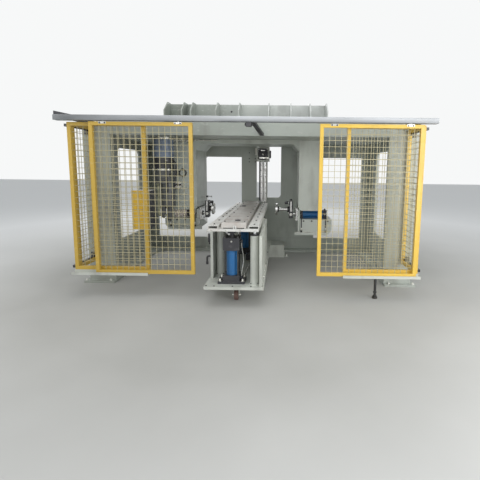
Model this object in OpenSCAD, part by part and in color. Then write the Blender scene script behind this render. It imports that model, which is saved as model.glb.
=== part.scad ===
// Portal rolling machine, in millimetres.
// A welded outer frame holds an inner portal with a head on each side and a third head at the rear.
// A lift table on its own carriage runs through the portal, behind a fence with two sliding doors.
// X runs to the right, Y runs from the front to the back and Z runs up.
// Places along Y are measured from the front columns' front faces, and placed() then moves
// the whole machine so that the origin is on the floor under its middle.

/* [Outer frame] */
// Width over the two front columns
frame_w = 4200; // [4100:10:4600]
// Height of the frame's top over the floor
frame_h = 2070; // [2000:5:2150]
// Distance from the columns' front to the rear wall's front
rear_wall_y = 1880; // [1850:10:2050]
// Thickness of the boxed rear wall
rear_wall_t = 60; // [40:1:90]
// Width of a front column
column_w = 345; // [300:1:380]
// Depth of a front column and of the front beam
column_d = 100; // [70:1:130]
// Height of the front beam
front_beam_h = 160; // [155:1:200]
// Height of the top deck's underside
deck_low = 1920; // [1900:1:1935]
// Thickness of the top deck
deck_t = 25; // [15:1:40]
// Width of the rails along the deck's edges
deck_rail_w = 100; // [60:1:140]
// How far the side plates stand in from the columns' outer edges
side_inset = 75; // [50:1:90]
// Thickness of a side plate
side_plate_t = 25; // [15:1:40]

/* [Side windows] */
// Distance from the columns' front to a side window
side_window_y = 700; // [600:5:800]
// Length of a side window
side_window_l = 760; // [600:5:900]
// Height of a side window's lower edge
side_window_low = 430; // [300:5:600]
// Distance from a side window's top to the deck
side_window_strip = 140; // [100:5:400]
// Corner radius of a side window
side_window_r = 80; // [30:1:150]

/* [Feet and base flange] */
// Depth of a column's foot
foot_d = 380; // [300:5:450]
// Height of a column's foot over the floor
foot_h = 200; // [150:5:250]
// Thickness of the plate under a foot
foot_plate_t = 30; // [20:1:40]
// How far the foot plate reaches past the column
foot_lip = 55; // [30:1:70]
// Thickness of the base flange
flange_t = 40; // [25:1:60]
// Width of the base flange along the sides
flange_side_w = 320; // [250:5:400]
// Distance from the columns' front to the rear flange's inner edge
flange_rear_y = 1720; // [1680:5:1760]
// Radius of the base flange's inner corners
flange_r = 180; // [80:5:250]

/* [Rear wall] */
// Height of the lower edge of the bay openings
bay_low = 230; // [180:5:300]
// Height of the upper edge of the bay openings
bay_top = 1700; // [1600:5:1750]
// Width of a rear corner post
rear_post_w = 170; // [120:5:220]
// Place of the centre wall's left edge
centre_wall_left = -320; // [-360:5:-280]
// Place of the centre wall's right edge
centre_wall_right = 1000; // [900:5:1050]
// Place of the rear window's left edge
rear_window_left = -50; // [-80:5:-30]
// Width of the rear window
rear_window_w = 440; // [350:5:500]
// Height of the rear window's lower edge
rear_window_low = 975; // [930:5:1050]
// Width of the strip above the rear window
rear_window_strip = 25; // [20:1:40]
// Radius of the rear window's lower right corner
rear_window_r = 60; // [20:1:100]

/* [Inner portal] */
// Place of the working axis: the portal and the table stand left of the frame's middle
axis_x = -100; // [-150:5:0]
// Distance from the columns' front to the portal's front
portal_y = 750; // [700:5:800]
// Depth of the portal
portal_d = 700; // [600:5:740]
// Half the width of the portal's opening
opening_half = 760; // [740:5:800]
// Width of a pier
pier_w = 355; // [300:5:400]
// Height of a pier's lower end
pier_low = 880; // [875:1:950]
// Radius of a pier's lower inner corner
pier_r = 60; // [20:1:100]
// Height of the lintel's underside
lintel_low = 1860; // [1820:1:1880]
// Size of the chamfer in the portal's upper corners
portal_chamfer = 95; // [50:1:140]

/* [Crossbeam] */
// Length of the crossbeam
crossbeam_l = 2380; // [2360:5:2500]
// How far the crossbeam's middle stands left of the working axis
crossbeam_shift = 25; // [0:5:40]
// Height of the ribs' tops over the floor
crossbeam_top = 2470; // [2400:5:2550]
// Depth of the crossbeam's box
crossbeam_box_d = 120; // [80:5:200]
// Thickness of the plate under the crossbeam
crossbeam_plate_t = 30; // [20:1:40]
// How far a rib stands out from the box
rib_d = 320; // [280:5:340]
// Thickness of a rib
rib_t = 16; // [8:1:25]
// How far a rib rises over the box
rib_rise = 5; // [2:1:30]
// Drop of a rib's chamfer
rib_chamfer_h = 140; // [80:5:180]
// Length of a rib's level top
rib_top_l = 150; // [100:5:200]

/* [Side heads] */
// Distance from the columns' front to the heads' axes
head_y = 1000; // [980:5:1020]
// Height of the feed cylinders' axis
feed_z = 800; // [798:1:805]
// Height of the spindles' axis
spindle_z = 870; // [865:1:880]
// Side of a feed cylinder's square end blocks
feed_block = 130; // [125:1:135]
// Length of a feed cylinder's end block
feed_block_l = 50; // [40:1:60]
// Diameter of a feed cylinder's barrel
feed_barrel_d = 105; // [90:1:110]
// Length of a feed cylinder's barrel
feed_barrel_l = 320; // [310:5:400]
// Diameter of a feed cylinder's tie rods
feed_tie_d = 12; // [8:1:14]
// Diameter of a feed rod
feed_rod_d = 50; // [40:1:60]
// Side of the square bearing flange on the cheek
bearing_flange = 190; // [180:1:200]
// Thickness of the bearing flange and of the cheek
cheek_t = 30; // [20:1:35]
// Length of a head's bed beyond the cheek
bed_l = 490; // [480:5:560]
// Height of the left head bed's underside
left_bed_low = 570; // [520:5:600]
// Height of the right head bed's underside
right_bed_low = 500; // [450:5:560]
// Chamfer on a bed's lower outer corner
bed_chamfer = 60; // [30:1:100]
// Distance from the portal's front to a bed's front
bed_setback = 100; // [60:5:110]
// Depth of the back block that carries a bed
back_block_d = 200; // [150:5:240]
// How far the ledge stands out from a bed
ledge_d = 50; // [40:1:60]
// Thickness of the ledge
ledge_t = 40; // [25:1:50]
// Width of a crosshead along the feed
crosshead_w = 60; // [40:1:70]
// Depth of a crosshead
crosshead_d = 120; // [100:5:140]
// Height of a crosshead's top
crosshead_top = 1000; // [950:5:1050]
// Gap from a crosshead to the bearing flange at rest
crosshead_gap = 45; // [40:1:60]
// Diameter of a spindle
spindle_d = 55; // [40:1:70]
// Diameter of a spindle's nose disc
nose_d = 180; // [140:5:200]
// Thickness of a nose disc
nose_t = 30; // [20:1:40]
// Distance from the working axis to the right nose at rest
right_nose_x = 415; // [405:5:450]
// Distance from the working axis to the left nose at rest
left_nose_x = 550; // [540:5:570]
// Diameter of the heads' hoses
hose_d = 14; // [10:1:18]
// Bend radius of the heads' hoses
hose_bend_r = 40; // [30:1:45]

/* [Hydraulic unit and pipes] */
// Distance from the left pier's outer side to the hydraulic unit's axis
unit_gap = 65; // [50:5:90]
// Distance from the unit's axis to the pier's front
unit_reach = 185; // [180:5:210]
// Diameter of the unit's body
unit_d = 290; // [260:5:290]
// Height of the unit's body under its cap
unit_body_h = 255; // [220:5:280]
// Height of the dark band under the body
unit_band_h = 155; // [120:5:180]
// Height of the drum under the band
unit_drum_h = 180; // [160:5:220]
// Height of the drum's narrower lower part
unit_waist_h = 330; // [280:5:360]
// Height of the unit's lower tip
unit_tip_h = 190; // [120:5:220]
// Diameter of the pipes on the left pier
pipe_d = 24; // [16:1:24]
// Radius of the hose loop on the left pier
loop_r = 50; // [40:1:60]

/* [Rear head] */
// Place of the rear slide's left edge
rear_slide_x = 0; // [-20:5:20]
// Width of the rear slide
rear_slide_w = 150; // [130:5:180]
// Depth of the rear slide
rear_slide_d = 60; // [50:1:70]
// Height of the rear slide's lower end
rear_slide_low = 900; // [880:5:930]
// Width of a rail on the rear slide
slide_rail_w = 25; // [15:1:30]
// How far the rails stand out from the rear slide
slide_rail_d = 20; // [12:1:25]
// Diameter of the rear slide's screw
rear_screw_d = 24; // [18:1:30]
// Width of the rear head
rear_head_w = 225; // [200:5:250]
// Depth of the rear head
rear_head_d = 150; // [130:5:160]
// Height of the rear head's body
rear_head_h = 250; // [200:5:280]
// Height of the rear head's underside at rest
rear_head_low = 1620; // [1600:5:1630]

/* [Carriage] */
// Height of the carriage plate's top
cart_top = 235; // [230:1:250]
// Thickness of the carriage plate
cart_plate_t = 30; // [20:1:35]
// Half the width of the carriage plate
cart_half = 325; // [315:5:350]
// Place of the table's and carriage's front end
cart_front = -800; // [-850:5:-790]
// Place of the table's and carriage's rear end
cart_rear = 1620; // [1560:5:1620]
// Inner half distance between the carriage's side panels
panel_half = 275; // [272:1:285]
// Thickness of a side panel
panel_t = 30; // [10:1:30]
// Height of the side panels' tops
panel_top = 795; // [700:5:800]
// Place of the left panel's front edge
left_panel_front = -500; // [-600:5:-400]
// Place of the right panel's front edge
right_panel_front = -780; // [-785:5:-700]
// Place of the panels' rear edge
panel_rear = 450; // [400:5:600]
// Distance from the columns' front to the box that joins the carriage to the rear flange
cross_box_y = 1350; // [1300:5:1400]
// How far that box reaches past the working axis on the right
cross_box_reach = 560; // [500:5:600]
// Diameter of the castor wheel
castor_d = 120; // [100:1:140]
// Width of the castor wheel
castor_w = 50; // [30:1:60]
// Place of the castor's axle
castor_y = -550; // [-600:5:-500]
// Diameter of the castor's axle
axle_d = 14; // [10:1:20]

/* [Lift] */
// Distance between the front and the rear lift station
lift_pitch = 1320; // [1300:10:1400]
// Distance from the working axis to a guide sleeve
guide_x = 218; // [210:1:220]
// Place of the right front guide
right_guide_y = -680; // [-690:5:-660]
// Place of the left front guide
left_guide_y = -330; // [-380:5:-300]
// Diameter of a guide sleeve
sleeve_d = 95; // [80:1:100]
// Height of the guide sleeves' tops
sleeve_top = 785; // [700:5:790]
// Height of the ring on a sleeve
sleeve_ring_h = 15; // [8:1:15]
// Diameter of a guide rod
guide_rod_d = 35; // [25:1:45]
// Place of the front lift cylinder
lift_y = -600; // [-610:5:-580]
// Distance of the lift cylinders from the working axis
lift_x = -40; // [-50:1:0]
// Width of a lift cylinder's base flange
lift_flange_w = 300; // [260:5:310]
// Depth of a lift cylinder's base flange
lift_flange_d = 200; // [190:5:220]
// Thickness of a lift cylinder's base flange
lift_flange_t = 30; // [20:1:35]
// Side of a lift cylinder's square end blocks
lift_block = 180; // [160:5:190]
// Height of a lift cylinder's lower block
lift_foot_h = 60; // [40:1:70]
// Diameter of a lift cylinder's barrel
lift_barrel_d = 126; // [110:1:140]
// Height of a lift cylinder's barrel
lift_barrel_h = 285; // [280:5:300]
// Height of a lift cylinder's head
lift_head_h = 140; // [130:5:145]
// Diameter of a lift cylinder's rod
lift_rod_d = 50; // [40:1:60]
// Diameter of a lift cylinder's tie rods
lift_tie_d = 16; // [10:1:20]

/* [Table] */
// Height of the side tubes' tops at rest
table_top = 905; // [900:1:930]
// Half the width of the table
table_half = 268; // [262:1:270]
// Thickness of the table's lower plate
table_plate_t = 25; // [15:1:30]
// Width of a side tube
tube_w = 105; // [90:1:115]
// Height of a side tube
tube_h = 35; // [30:1:50]
// Wall of a side tube
tube_wall = 5; // [3:0.5:8]
// Width of the slots beside the centre plate
slot_w = 30; // [15:1:45]
// Thickness of the centre plate
centre_plate_t = 52; // [30:1:60]
// Height of the ribs under the centre plate
centre_rib_h = 10; // [5:1:20]
// Bevel at the front of the centre plate
centre_bevel = 30; // [10:1:30]

/* [Guard fence] */
// Distance from the columns' front to the fixed panels' front
fence_out = 470; // [450:5:500]
// Side of the square fence tubes
fence_tube = 40; // [30:1:50]
// Height of the fixed panels' lower edge
panel_low = 310; // [290:5:330]
// Height of the fixed panels' top
fence_top = 2000; // [1950:5:2010]
// Distance from the middle to a fixed panel's inner edge
fixed_inner = 1130; // [1100:5:1160]
// Distance from the middle to a fixed panel's outer edge
fixed_outer = 2000; // [1980:5:2020]
// Width of a sliding door
door_w = 1140; // [1100:5:1160]
// Height of a door's lower edge
door_low = 285; // [280:5:290]
// Height of a door's top
door_top = 2000; // [1950:5:2005]
// Place of the left door's left edge at rest
left_door_x = -1725; // [-1740:5:-1700]
// Place of the right door's left edge at rest
right_door_x = 820; // [800:5:840]
// Gap between the doors and the fixed panels
door_gap = 20; // [15:1:30]
// Distance between the mesh wires
mesh_pitch = 70; // [60:5:120]
// Width of a mesh wire
wire_w = 5; // [4:0.5:8]
// Thickness of the mesh
wire_t = 4; // [3:0.5:6]

/* [Door rail] */
// Length of the door rail
rail_l = 4200; // [4150:10:4500]
// Depth of the door rail
rail_d = 80; // [80:1:90]
// Height of the door rail
rail_h = 60; // [56:1:75]
// Wall of the door rail
rail_wall = 6; // [4:0.5:7]
// Radius of the door rail's upper edges
rail_r = 15; // [8:1:16]
// Width of the slot under the door rail
rail_slot = 20; // [18:1:24]
// Height of the door rail's underside
rail_low = 2012; // [2010:1:2025]
// Diameter of a hanger's rollers
roller_d = 32; // [24:1:32]
// Distance between a door's two hangers
hanger_pitch = 830; // [700:10:900]

/* [Fence supports and control box] */
// Wall of the trays that the doors run in
tray_wall = 6; // [4:0.5:8]
// Clearance between a door and its tray
tray_gap = 12; // [8:1:15]
// How far a tray's front wall rises past the door's lower edge
tray_rise = 15; // [5:1:25]
// Side of the square fence brackets
bracket_w = 30; // [20:1:40]
// Distance from the middle to the fence's leg
fence_leg_x = 1520; // [1400:10:1600]
// Diameter of the fence's leg
fence_leg_d = 30; // [20:1:40]
// Width of the control box
control_w = 190; // [150:5:250]
// Depth of the control box
control_d = 250; // [200:5:300]
// Height of the control box
control_h = 450; // [350:5:500]
// Height of the control box's underside
control_low = 790; // [700:5:900]
// Thickness of the control box's cover
control_cover_t = 10; // [5:1:20]

/* [Hidden] */
$fn = 64;
overshoot = 10;
fit_gap = 0.05;
touch_gap = 0.3;
bore_floor = 10;

frame_half = frame_w / 2;
column_inner = frame_half - column_w;
side_outer = frame_half - side_inset;
side_inner = side_outer - side_plate_t;
deck_top = deck_low + deck_t;
rear_back = rear_wall_y + rear_wall_t;
flange_inner = frame_half - flange_side_w;
portal_back = portal_y + portal_d;
pier_outer = opening_half + pier_w;
frame_grey = [0.62, 0.65, 0.61];
dark_grey = [0.2, 0.21, 0.22];
guard_yellow = [0.93, 0.76, 0.2];
cylinder_blue = [0.12, 0.3, 0.55];
bright_steel = [0.8, 0.81, 0.82];
cart_grey = [0.75, 0.76, 0.72];

// A block between two places on each axis
module block(x, y, z) {
    translate([x[0], y[0], z[0]]) cube([x[1] - x[0], y[1] - y[0], z[1] - z[0]]);
}

// A flat outline drawn in X and Z, given a thickness from y onwards
module upright_plate(y, thickness) {
    translate([0, y + thickness, 0]) rotate([90, 0, 0]) linear_extrude(thickness) children();
}

// A flat outline drawn in Y and Z, given a thickness from x onwards
module side_profile(x, thickness) {
    translate([x, 0, 0]) rotate([90, 0, 90]) linear_extrude(thickness) children();
}

// A round bar along X between two places
module bar_x(x, y, z, diameter) {
    translate([x[0], y, z]) rotate([0, 90, 0]) cylinder(d = diameter, h = x[1] - x[0]);
}

// A round bar along Y between two places
module bar_y(x, y, z, diameter) {
    translate([x, y[1], z]) rotate([90, 0, 0]) cylinder(d = diameter, h = y[1] - y[0]);
}

// A round bar along Z between two places
module bar_z(x, y, z, diameter) {
    translate([x, y, z[0]]) cylinder(d = diameter, h = z[1] - z[0]);
}

// What is drawn for the right is mirrored for the left
module on_side(side) {
    if (side < 0) mirror([1, 0, 0]) children();
    else children();
}

// The same about the working axis
module about_axis(side) {
    translate([axis_x, 0, 0]) on_side(side) children();
}

// Moves the machine from the columns' front to the middle of its depth
module placed() {
    translate([0, -(cart_front + rear_back) / 2, 0]) children();
}

// Front column with its foot and floor plate
module front_column(side) {
    color(frame_grey) on_side(side) {
        block([column_inner, frame_half], [0, column_d], [foot_plate_t, frame_h]);
        block([column_inner, frame_half], [column_d, foot_d], [foot_plate_t, foot_h]);
        block([column_inner, frame_half + foot_lip], [-foot_lip, foot_d], [0, foot_plate_t]);
    }
}

module front_beam() {
    color(frame_grey) block([-column_inner, column_inner], [0, column_d], [frame_h - front_beam_h, frame_h]);
}

// Rounded window through a side plate
module side_window() {
    y0 = side_window_y;
    y1 = side_window_y + side_window_l;
    z0 = side_window_low;
    z1 = deck_low - side_window_strip;
    r = side_window_r;
    x = [side_inner - overshoot, side_outer + overshoot];
    block(x, [y0 + r, y1 - r], [z0, z1]);
    block(x, [y0, y1], [z0 + r, z1 - r]);
    for (y = [y0 + r, y1 - r], z = [z0 + r, z1 - r]) bar_x(x, y, z, 2 * r);
}

module side_plate(side) {
    color(frame_grey) on_side(side) difference() {
        side_profile(side_inner, side_plate_t) polygon([
            [column_d, foot_h], [foot_d, foot_h], [foot_d, flange_t],
            [rear_wall_y, flange_t], [rear_wall_y, deck_low], [column_d, deck_low]
        ]);
        side_window();
    }
}

// Deck over the whole frame, with a rail along each side and the back
module top_deck() {
    rail_top = [deck_top, frame_h];
    color(frame_grey) {
        block([-side_outer, side_outer], [column_d, rear_back], [deck_low, deck_top]);
        for (side = [-1, 1]) on_side(side)
            block([side_outer - deck_rail_w, side_outer], [column_d, rear_back], rail_top);
        block([-side_outer, side_outer], [rear_back - deck_rail_w, rear_back], rail_top);
    }
}

// Floor flange along the sides and the back, open to the front with round inner corners
module base_flange() {
    r = flange_r;
    z = [-overshoot, flange_t + overshoot];
    color(frame_grey) difference() {
        block([-frame_half, frame_half], [foot_d, rear_back], [0, flange_t]);
        block([-flange_inner, flange_inner], [foot_d - overshoot, flange_rear_y - r], z);
        block([-flange_inner + r, flange_inner - r], [foot_d - overshoot, flange_rear_y], z);
        for (side = [-1, 1]) on_side(side) bar_z(flange_inner - r, flange_rear_y - r, z, 2 * r);
    }
}

module rear_sill_beam() {
    color(frame_grey) block([-side_outer, side_outer], [rear_wall_y, rear_back], [flange_t, bay_low]);
}

// Corner post and upper beam beside the rear centre wall, as one welded angle
module rear_frame(side, beam_inner) {
    color(frame_grey) on_side(side) upright_plate(rear_wall_y, rear_wall_t) polygon([
        [side_outer, bay_low], [side_outer, deck_low], [beam_inner, deck_low],
        [beam_inner, bay_top], [side_outer - rear_post_w, bay_top], [side_outer - rear_post_w, bay_low]
    ]);
}

// Centre wall with the window behind the rear head
module rear_centre_wall() {
    y = [rear_wall_y - overshoot, rear_back + overshoot];
    left = rear_window_left;
    right = rear_window_left + rear_window_w;
    r = rear_window_r;
    top = deck_low - rear_window_strip;
    color(frame_grey) difference() {
        block([centre_wall_left, centre_wall_right], [rear_wall_y, rear_back], [bay_low, deck_low]);
        block([left, right - r], y, [rear_window_low, top]);
        block([left, right], y, [rear_window_low + r, top]);
        bar_y(right - r, y, rear_window_low + r, 2 * r);
    }
}

// Box girder across the deck, over the portal
box_y = portal_y + (portal_d - crossbeam_box_d) / 2;
box_back = box_y + crossbeam_box_d;
box_low = deck_top + crossbeam_plate_t;
box_top = crossbeam_top - rib_rise;
crossbeam_left = axis_x - crossbeam_shift - crossbeam_l / 2;
module crossbeam() {
    x = [crossbeam_left, crossbeam_left + crossbeam_l];
    color(frame_grey) {
        block(x, [box_y - rib_d, box_back + rib_d], [deck_top, box_low]);
        block(x, [box_y, box_back], [box_low, box_top]);
    }
}

// Distance of each rib from the left end of the crossbeam
rib_places = [0, 250, 380, 745, 1075, 1510, 1835, 2120, crossbeam_l - rib_t];
module rib_row() {
    for (place = rib_places)
        side_profile(crossbeam_left + place, rib_t) polygon([
            [0, box_low], [0, crossbeam_top], [-rib_top_l, crossbeam_top],
            [-rib_d, crossbeam_top - rib_chamfer_h], [-rib_d, box_low]
        ]);
}

module crossbeam_ribs() {
    color(frame_grey) {
        translate([0, box_y, 0]) rib_row();
        translate([0, box_back, 0]) mirror([0, 1, 0]) rib_row();
    }
}

// Lintel with the chamfers that fill the portal's upper corners
module portal_lintel() {
    h = opening_half;
    c = portal_chamfer;
    color(frame_grey) translate([axis_x, 0, 0]) upright_plate(portal_y, portal_d) polygon([
        [-h, deck_low], [-h, lintel_low - c], [c - h, lintel_low],
        [h - c, lintel_low], [h, lintel_low - c], [h, deck_low]
    ]);
}

// Pier that hangs beside the opening, with a round lower inner corner
module pier(side) {
    y = [portal_y, portal_back];
    r = pier_r;
    color(frame_grey) about_axis(side) {
        block([opening_half, pier_outer], y, [pier_low + r, deck_low]);
        block([opening_half + r, pier_outer], y, [pier_low, pier_low + r]);
        intersection() {
            block([opening_half, opening_half + r], y, [pier_low, pier_low + r]);
            bar_y(opening_half + r, y, pier_low + r, 2 * r);
        }
    }
}

// Side heads, drawn to the right of the working axis
bed_top = feed_z - feed_block / 2;
bed_front = portal_y + bed_setback;
back_block_y = portal_back - back_block_d;
cheek_outer = opening_half + cheek_t;
flange_inner_x = opening_half - cheek_t;
bed_end = cheek_outer + bed_l;
crosshead_outer = flange_inner_x - crosshead_gap;
crosshead_inner = crosshead_outer - crosshead_w;
barrel_start = cheek_outer + feed_block_l;
barrel_end = barrel_start + feed_barrel_l;
feed_bore_end = barrel_end - bore_floor;
feed_rod_end = feed_bore_end - crosshead_gap;

// Bed, ledge, cheek with its bearing flange, and the block behind that hangs them from the pier
module head_bed(side, bed_low) {
    half_flange = bearing_flange / 2;
    color(frame_grey) about_axis(side) difference() {
        union() {
            upright_plate(bed_front, back_block_y - bed_front) polygon([
                [cheek_outer, bed_low], [bed_end - bed_chamfer, bed_low],
                [bed_end, bed_low + bed_chamfer], [bed_end, bed_top], [cheek_outer, bed_top]
            ]);
            block([flange_inner_x - cheek_t / 2, bed_end - bed_chamfer], [bed_front - ledge_d, bed_front],
                [bed_low, bed_low + ledge_t]);
            block([opening_half, cheek_outer], [bed_front, back_block_y], [bed_low, pier_low]);
            block([opening_half, pier_outer], [back_block_y, portal_back], [bed_low, pier_low]);
            block([flange_inner_x, opening_half], [head_y - half_flange, head_y + half_flange],
                [feed_z - half_flange, feed_z + half_flange]);
        }
        bar_x([flange_inner_x - overshoot, cheek_outer + overshoot], head_y, feed_z, feed_rod_d + 2 * fit_gap);
    }
}

module feed_cylinders() {
    half = feed_block / 2;
    tie_out = half - feed_tie_d;
    color(cylinder_blue) for (side = [-1, 1]) about_axis(side) difference() {
        union() {
            block([cheek_outer, barrel_start], [head_y - half, head_y + half], [feed_z - half, feed_z + half]);
            block([barrel_end, barrel_end + feed_block_l], [head_y - half, head_y + half],
                [feed_z - half, feed_z + half]);
            bar_x([barrel_start, barrel_end], head_y, feed_z, feed_barrel_d);
            for (dy = [-tie_out, tie_out], dz = [-tie_out, tie_out])
                bar_x([barrel_start, barrel_end], head_y + dy, feed_z + dz, feed_tie_d);
        }
        bar_x([cheek_outer - overshoot, feed_bore_end], head_y, feed_z, feed_rod_d + 2 * fit_gap);
    }
}

// Feed rod, crosshead, spindle and nose disc, which travel together
module spindle(side, nose_x) {
    color(bright_steel) about_axis(side) {
        bar_x([crosshead_outer, feed_rod_end], head_y, feed_z, feed_rod_d);
        block([crosshead_inner, crosshead_outer], [head_y - crosshead_d / 2, head_y + crosshead_d / 2],
            [bed_top, crosshead_top]);
        bar_x([nose_x + nose_t, crosshead_inner], head_y, spindle_z, spindle_d);
        bar_x([nose_x, nose_x + nose_t], head_y, spindle_z, nose_d);
    }
}

// Hoses from the feed cylinders' end blocks down to the ledge
hose_front = bed_front - ledge_d / 2;
module head_hose(x, ledge_top) {
    block_face = head_y - feed_block / 2;
    bend_y = hose_front + hose_bend_r;
    bend_z = feed_z - hose_bend_r;
    bar_y(x, [bend_y, block_face], feed_z, hose_d);
    translate([x, bend_y, bend_z]) rotate([90, 0, 90]) rotate([0, 0, 90])
        rotate_extrude(angle = 90) translate([hose_bend_r, 0]) circle(d = hose_d);
    bar_z(x, hose_front, [ledge_top, bend_z], hose_d);
    bar_z(x, hose_front, [ledge_top, ledge_top + 2 * hose_d], 2 * hose_d);
}

module head_hoses() {
    color(dark_grey) for (side = [-1, 1]) about_axis(side) {
        ledge_top = (side < 0 ? left_bed_low : right_bed_low) + ledge_t;
        head_hose(cheek_outer + feed_block_l / 2, ledge_top);
        head_hose(barrel_end + feed_block_l / 2, ledge_top);
    }
}

// Stepped hydraulic unit that hangs under the deck in front of the left pier
unit_x = pier_outer + unit_gap;
unit_y = portal_y - unit_reach;
unit_cap_h = 25;
unit_cap_r = unit_d / 2 + 10;
unit_body_low = deck_low - unit_cap_h - unit_body_h;
unit_band_low = unit_body_low - unit_band_h;
module hydraulic_unit() {
    ring_h = 22;
    ring_lip = 5;
    step = 6;
    waist_d = 205;
    waist_shift = 50;
    tip_d = 95;
    tip_shift = 70;
    arm_w = 60;
    arm_inset = 15;
    ring_low = unit_band_low - ring_h;
    drum_low = ring_low - unit_drum_h;
    waist_low = drum_low - unit_waist_h;
    color(dark_grey) about_axis(-1) {
        bar_z(unit_x, unit_y, [deck_low - unit_cap_h, deck_low], 2 * unit_cap_r);
        bar_z(unit_x, unit_y, [unit_body_low, deck_low - unit_cap_h], unit_d);
        bar_z(unit_x, unit_y, [unit_band_low, unit_body_low], unit_d - step);
        bar_z(unit_x, unit_y, [ring_low, unit_band_low], unit_d + 2 * ring_lip);
        bar_z(unit_x, unit_y, [drum_low, ring_low], unit_d - 2 * step);
        bar_z(unit_x - waist_shift, unit_y, [waist_low, drum_low], waist_d);
        bar_z(unit_x - tip_shift, unit_y, [waist_low - unit_tip_h, waist_low], tip_d);
        block([pier_outer - arm_inset - arm_w, pier_outer - arm_inset], [unit_y, portal_y],
            [ring_low - arm_inset - arm_w, ring_low - arm_inset]);
    }
}

// Pipe from the unit's side along the pier that turns back to the pier's front
module unit_pipe(z, start, end) {
    bend_r = 60;
    bar_x([end + bend_r, start - touch_gap], unit_y, z, pipe_d);
    translate([end + bend_r, unit_y + bend_r, z]) rotate([0, 0, 180])
        rotate_extrude(angle = 90) translate([bend_r, 0]) circle(d = pipe_d);
    bar_y(end, [unit_y + bend_r, portal_y], z, pipe_d);
}

// Two pipes, a hose loop with its clip and a valve on the left pier's front
module left_pipework() {
    pipe_gap = 2;
    upper_z = deck_low - pipe_gap - pipe_d / 2;
    lower_z = deck_low - unit_cap_h - pipe_gap - pipe_d / 2;
    upper_end = opening_half + 130;
    lower_end = opening_half + 45;
    clip_w = 25;
    loop_x = pier_outer - 155;
    loop_z = 1425;
    loop_hose_d = 16;
    loop_y = portal_y - loop_hose_d;
    valve_x = loop_x + loop_r - loop_hose_d;
    valve_w = 100;
    valve_h = 90;
    valve_d = 60;
    valve_low = 1200;
    color(bright_steel) about_axis(-1) {
        unit_pipe(upper_z, unit_x - unit_cap_r, upper_end);
        unit_pipe(lower_z, unit_x - unit_d / 2, lower_end);
        translate([loop_x, loop_y, loop_z]) rotate([90, 0, 0])
            rotate_extrude() translate([loop_r, 0]) circle(d = loop_hose_d);
        block([loop_x - clip_w / 2, loop_x + clip_w / 2], [loop_y, portal_y],
            [loop_z + loop_r - loop_hose_d, loop_z + loop_r + loop_hose_d]);
        block([valve_x, valve_x + valve_w], [portal_y - valve_d, portal_y], [valve_low, valve_low + valve_h]);
        bar_z(valve_x + valve_w / 2, portal_y - valve_d / 2, [valve_low - loop_hose_d, valve_low], 2 * loop_hose_d);
    }
}

// Upright slide for the rear head: beam, two rails, a screw and its two bearing blocks
slide_front = rear_wall_y - rear_slide_d;
rail_front = slide_front - slide_rail_d;
rear_head_back = rail_front - touch_gap;
screw_x = rear_slide_x + rear_slide_w / 2;
screw_y = rear_head_back - rear_head_d / 5;
slide_top = deck_low - 5;
module rear_slide() {
    bearing_h = 30;
    bearing_half = rear_screw_d;
    color(bright_steel) {
        block([rear_slide_x, rear_slide_x + rear_slide_w], [slide_front, rear_wall_y], [rear_slide_low, slide_top]);
        for (x = [rear_slide_x, rear_slide_x + rear_slide_w - slide_rail_w])
            block([x, x + slide_rail_w], [rail_front, slide_front], [rear_slide_low, slide_top]);
        bar_z(screw_x, screw_y, [rear_slide_low, slide_top], rear_screw_d);
        for (z = [rear_slide_low, slide_top - bearing_h])
            block([screw_x - bearing_half, screw_x + bearing_half], [screw_y - bearing_half, slide_front],
                [z, z + bearing_h]);
    }
}

// Head body with a front plate, bored for the screw
module rear_head() {
    half = rear_head_w / 2;
    plate_t = 25;
    plate_inset = 30;
    z = [rear_head_low, rear_head_low + rear_head_h];
    color(dark_grey) difference() {
        union() {
            block([screw_x - half, screw_x + half], [rear_head_back - rear_head_d + plate_t, rear_head_back], z);
            block([screw_x - half + plate_inset, screw_x + half - plate_inset],
                [rear_head_back - rear_head_d, rear_head_back - rear_head_d + plate_t],
                [z[0] + plate_inset, z[1] - plate_inset]);
        }
        bar_z(screw_x, screw_y, [z[0] - overshoot, z[1] + overshoot], rear_screw_d + 2 * fit_gap);
    }
}

// Carriage plate, the box that joins its rear end to the flange, and the fork of the castor
cart_low = cart_top - cart_plate_t;
fork_t = 6;
module cart_base() {
    side_gap = 3;
    head_t = 10;
    arm_x = castor_w / 2 + side_gap;
    axle_z = castor_d / 2;
    fork_top = cart_low - head_t;
    color(cart_grey) translate([axis_x, 0, 0]) {
        block([-cart_half, cart_half], [cart_front, cart_rear], [cart_low, cart_top]);
        block([-cart_half, cross_box_reach], [cross_box_y, flange_rear_y], [0, cart_low]);
        block([-arm_x - fork_t, arm_x + fork_t], [castor_y - axle_z, castor_y + axle_z], [fork_top, cart_low]);
        for (x = [-arm_x - fork_t, arm_x]) side_profile(x, fork_t) polygon([
            [castor_y - axle_z, fork_top], [castor_y + axle_z, fork_top],
            [castor_y + 1.5 * axle_d, axle_z - 1.2 * axle_d], [castor_y - 1.5 * axle_d, axle_z - 1.2 * axle_d]
        ]);
        bar_x([-arm_x - fork_t, arm_x + fork_t], castor_y, axle_z, axle_d);
    }
}

module castor_wheel() {
    tread_step = 4;
    color([0.45, 0.22, 0.18]) translate([axis_x, 0, 0]) difference() {
        union() {
            bar_x([-castor_w / 2 + tread_step, castor_w / 2 - tread_step], castor_y, castor_d / 2, castor_d);
            bar_x([-castor_w / 2, castor_w / 2], castor_y, castor_d / 2, castor_d / 2);
        }
        bar_x([-castor_w, castor_w], castor_y, castor_d / 2, axle_d + 2 * fit_gap);
    }
}

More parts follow.
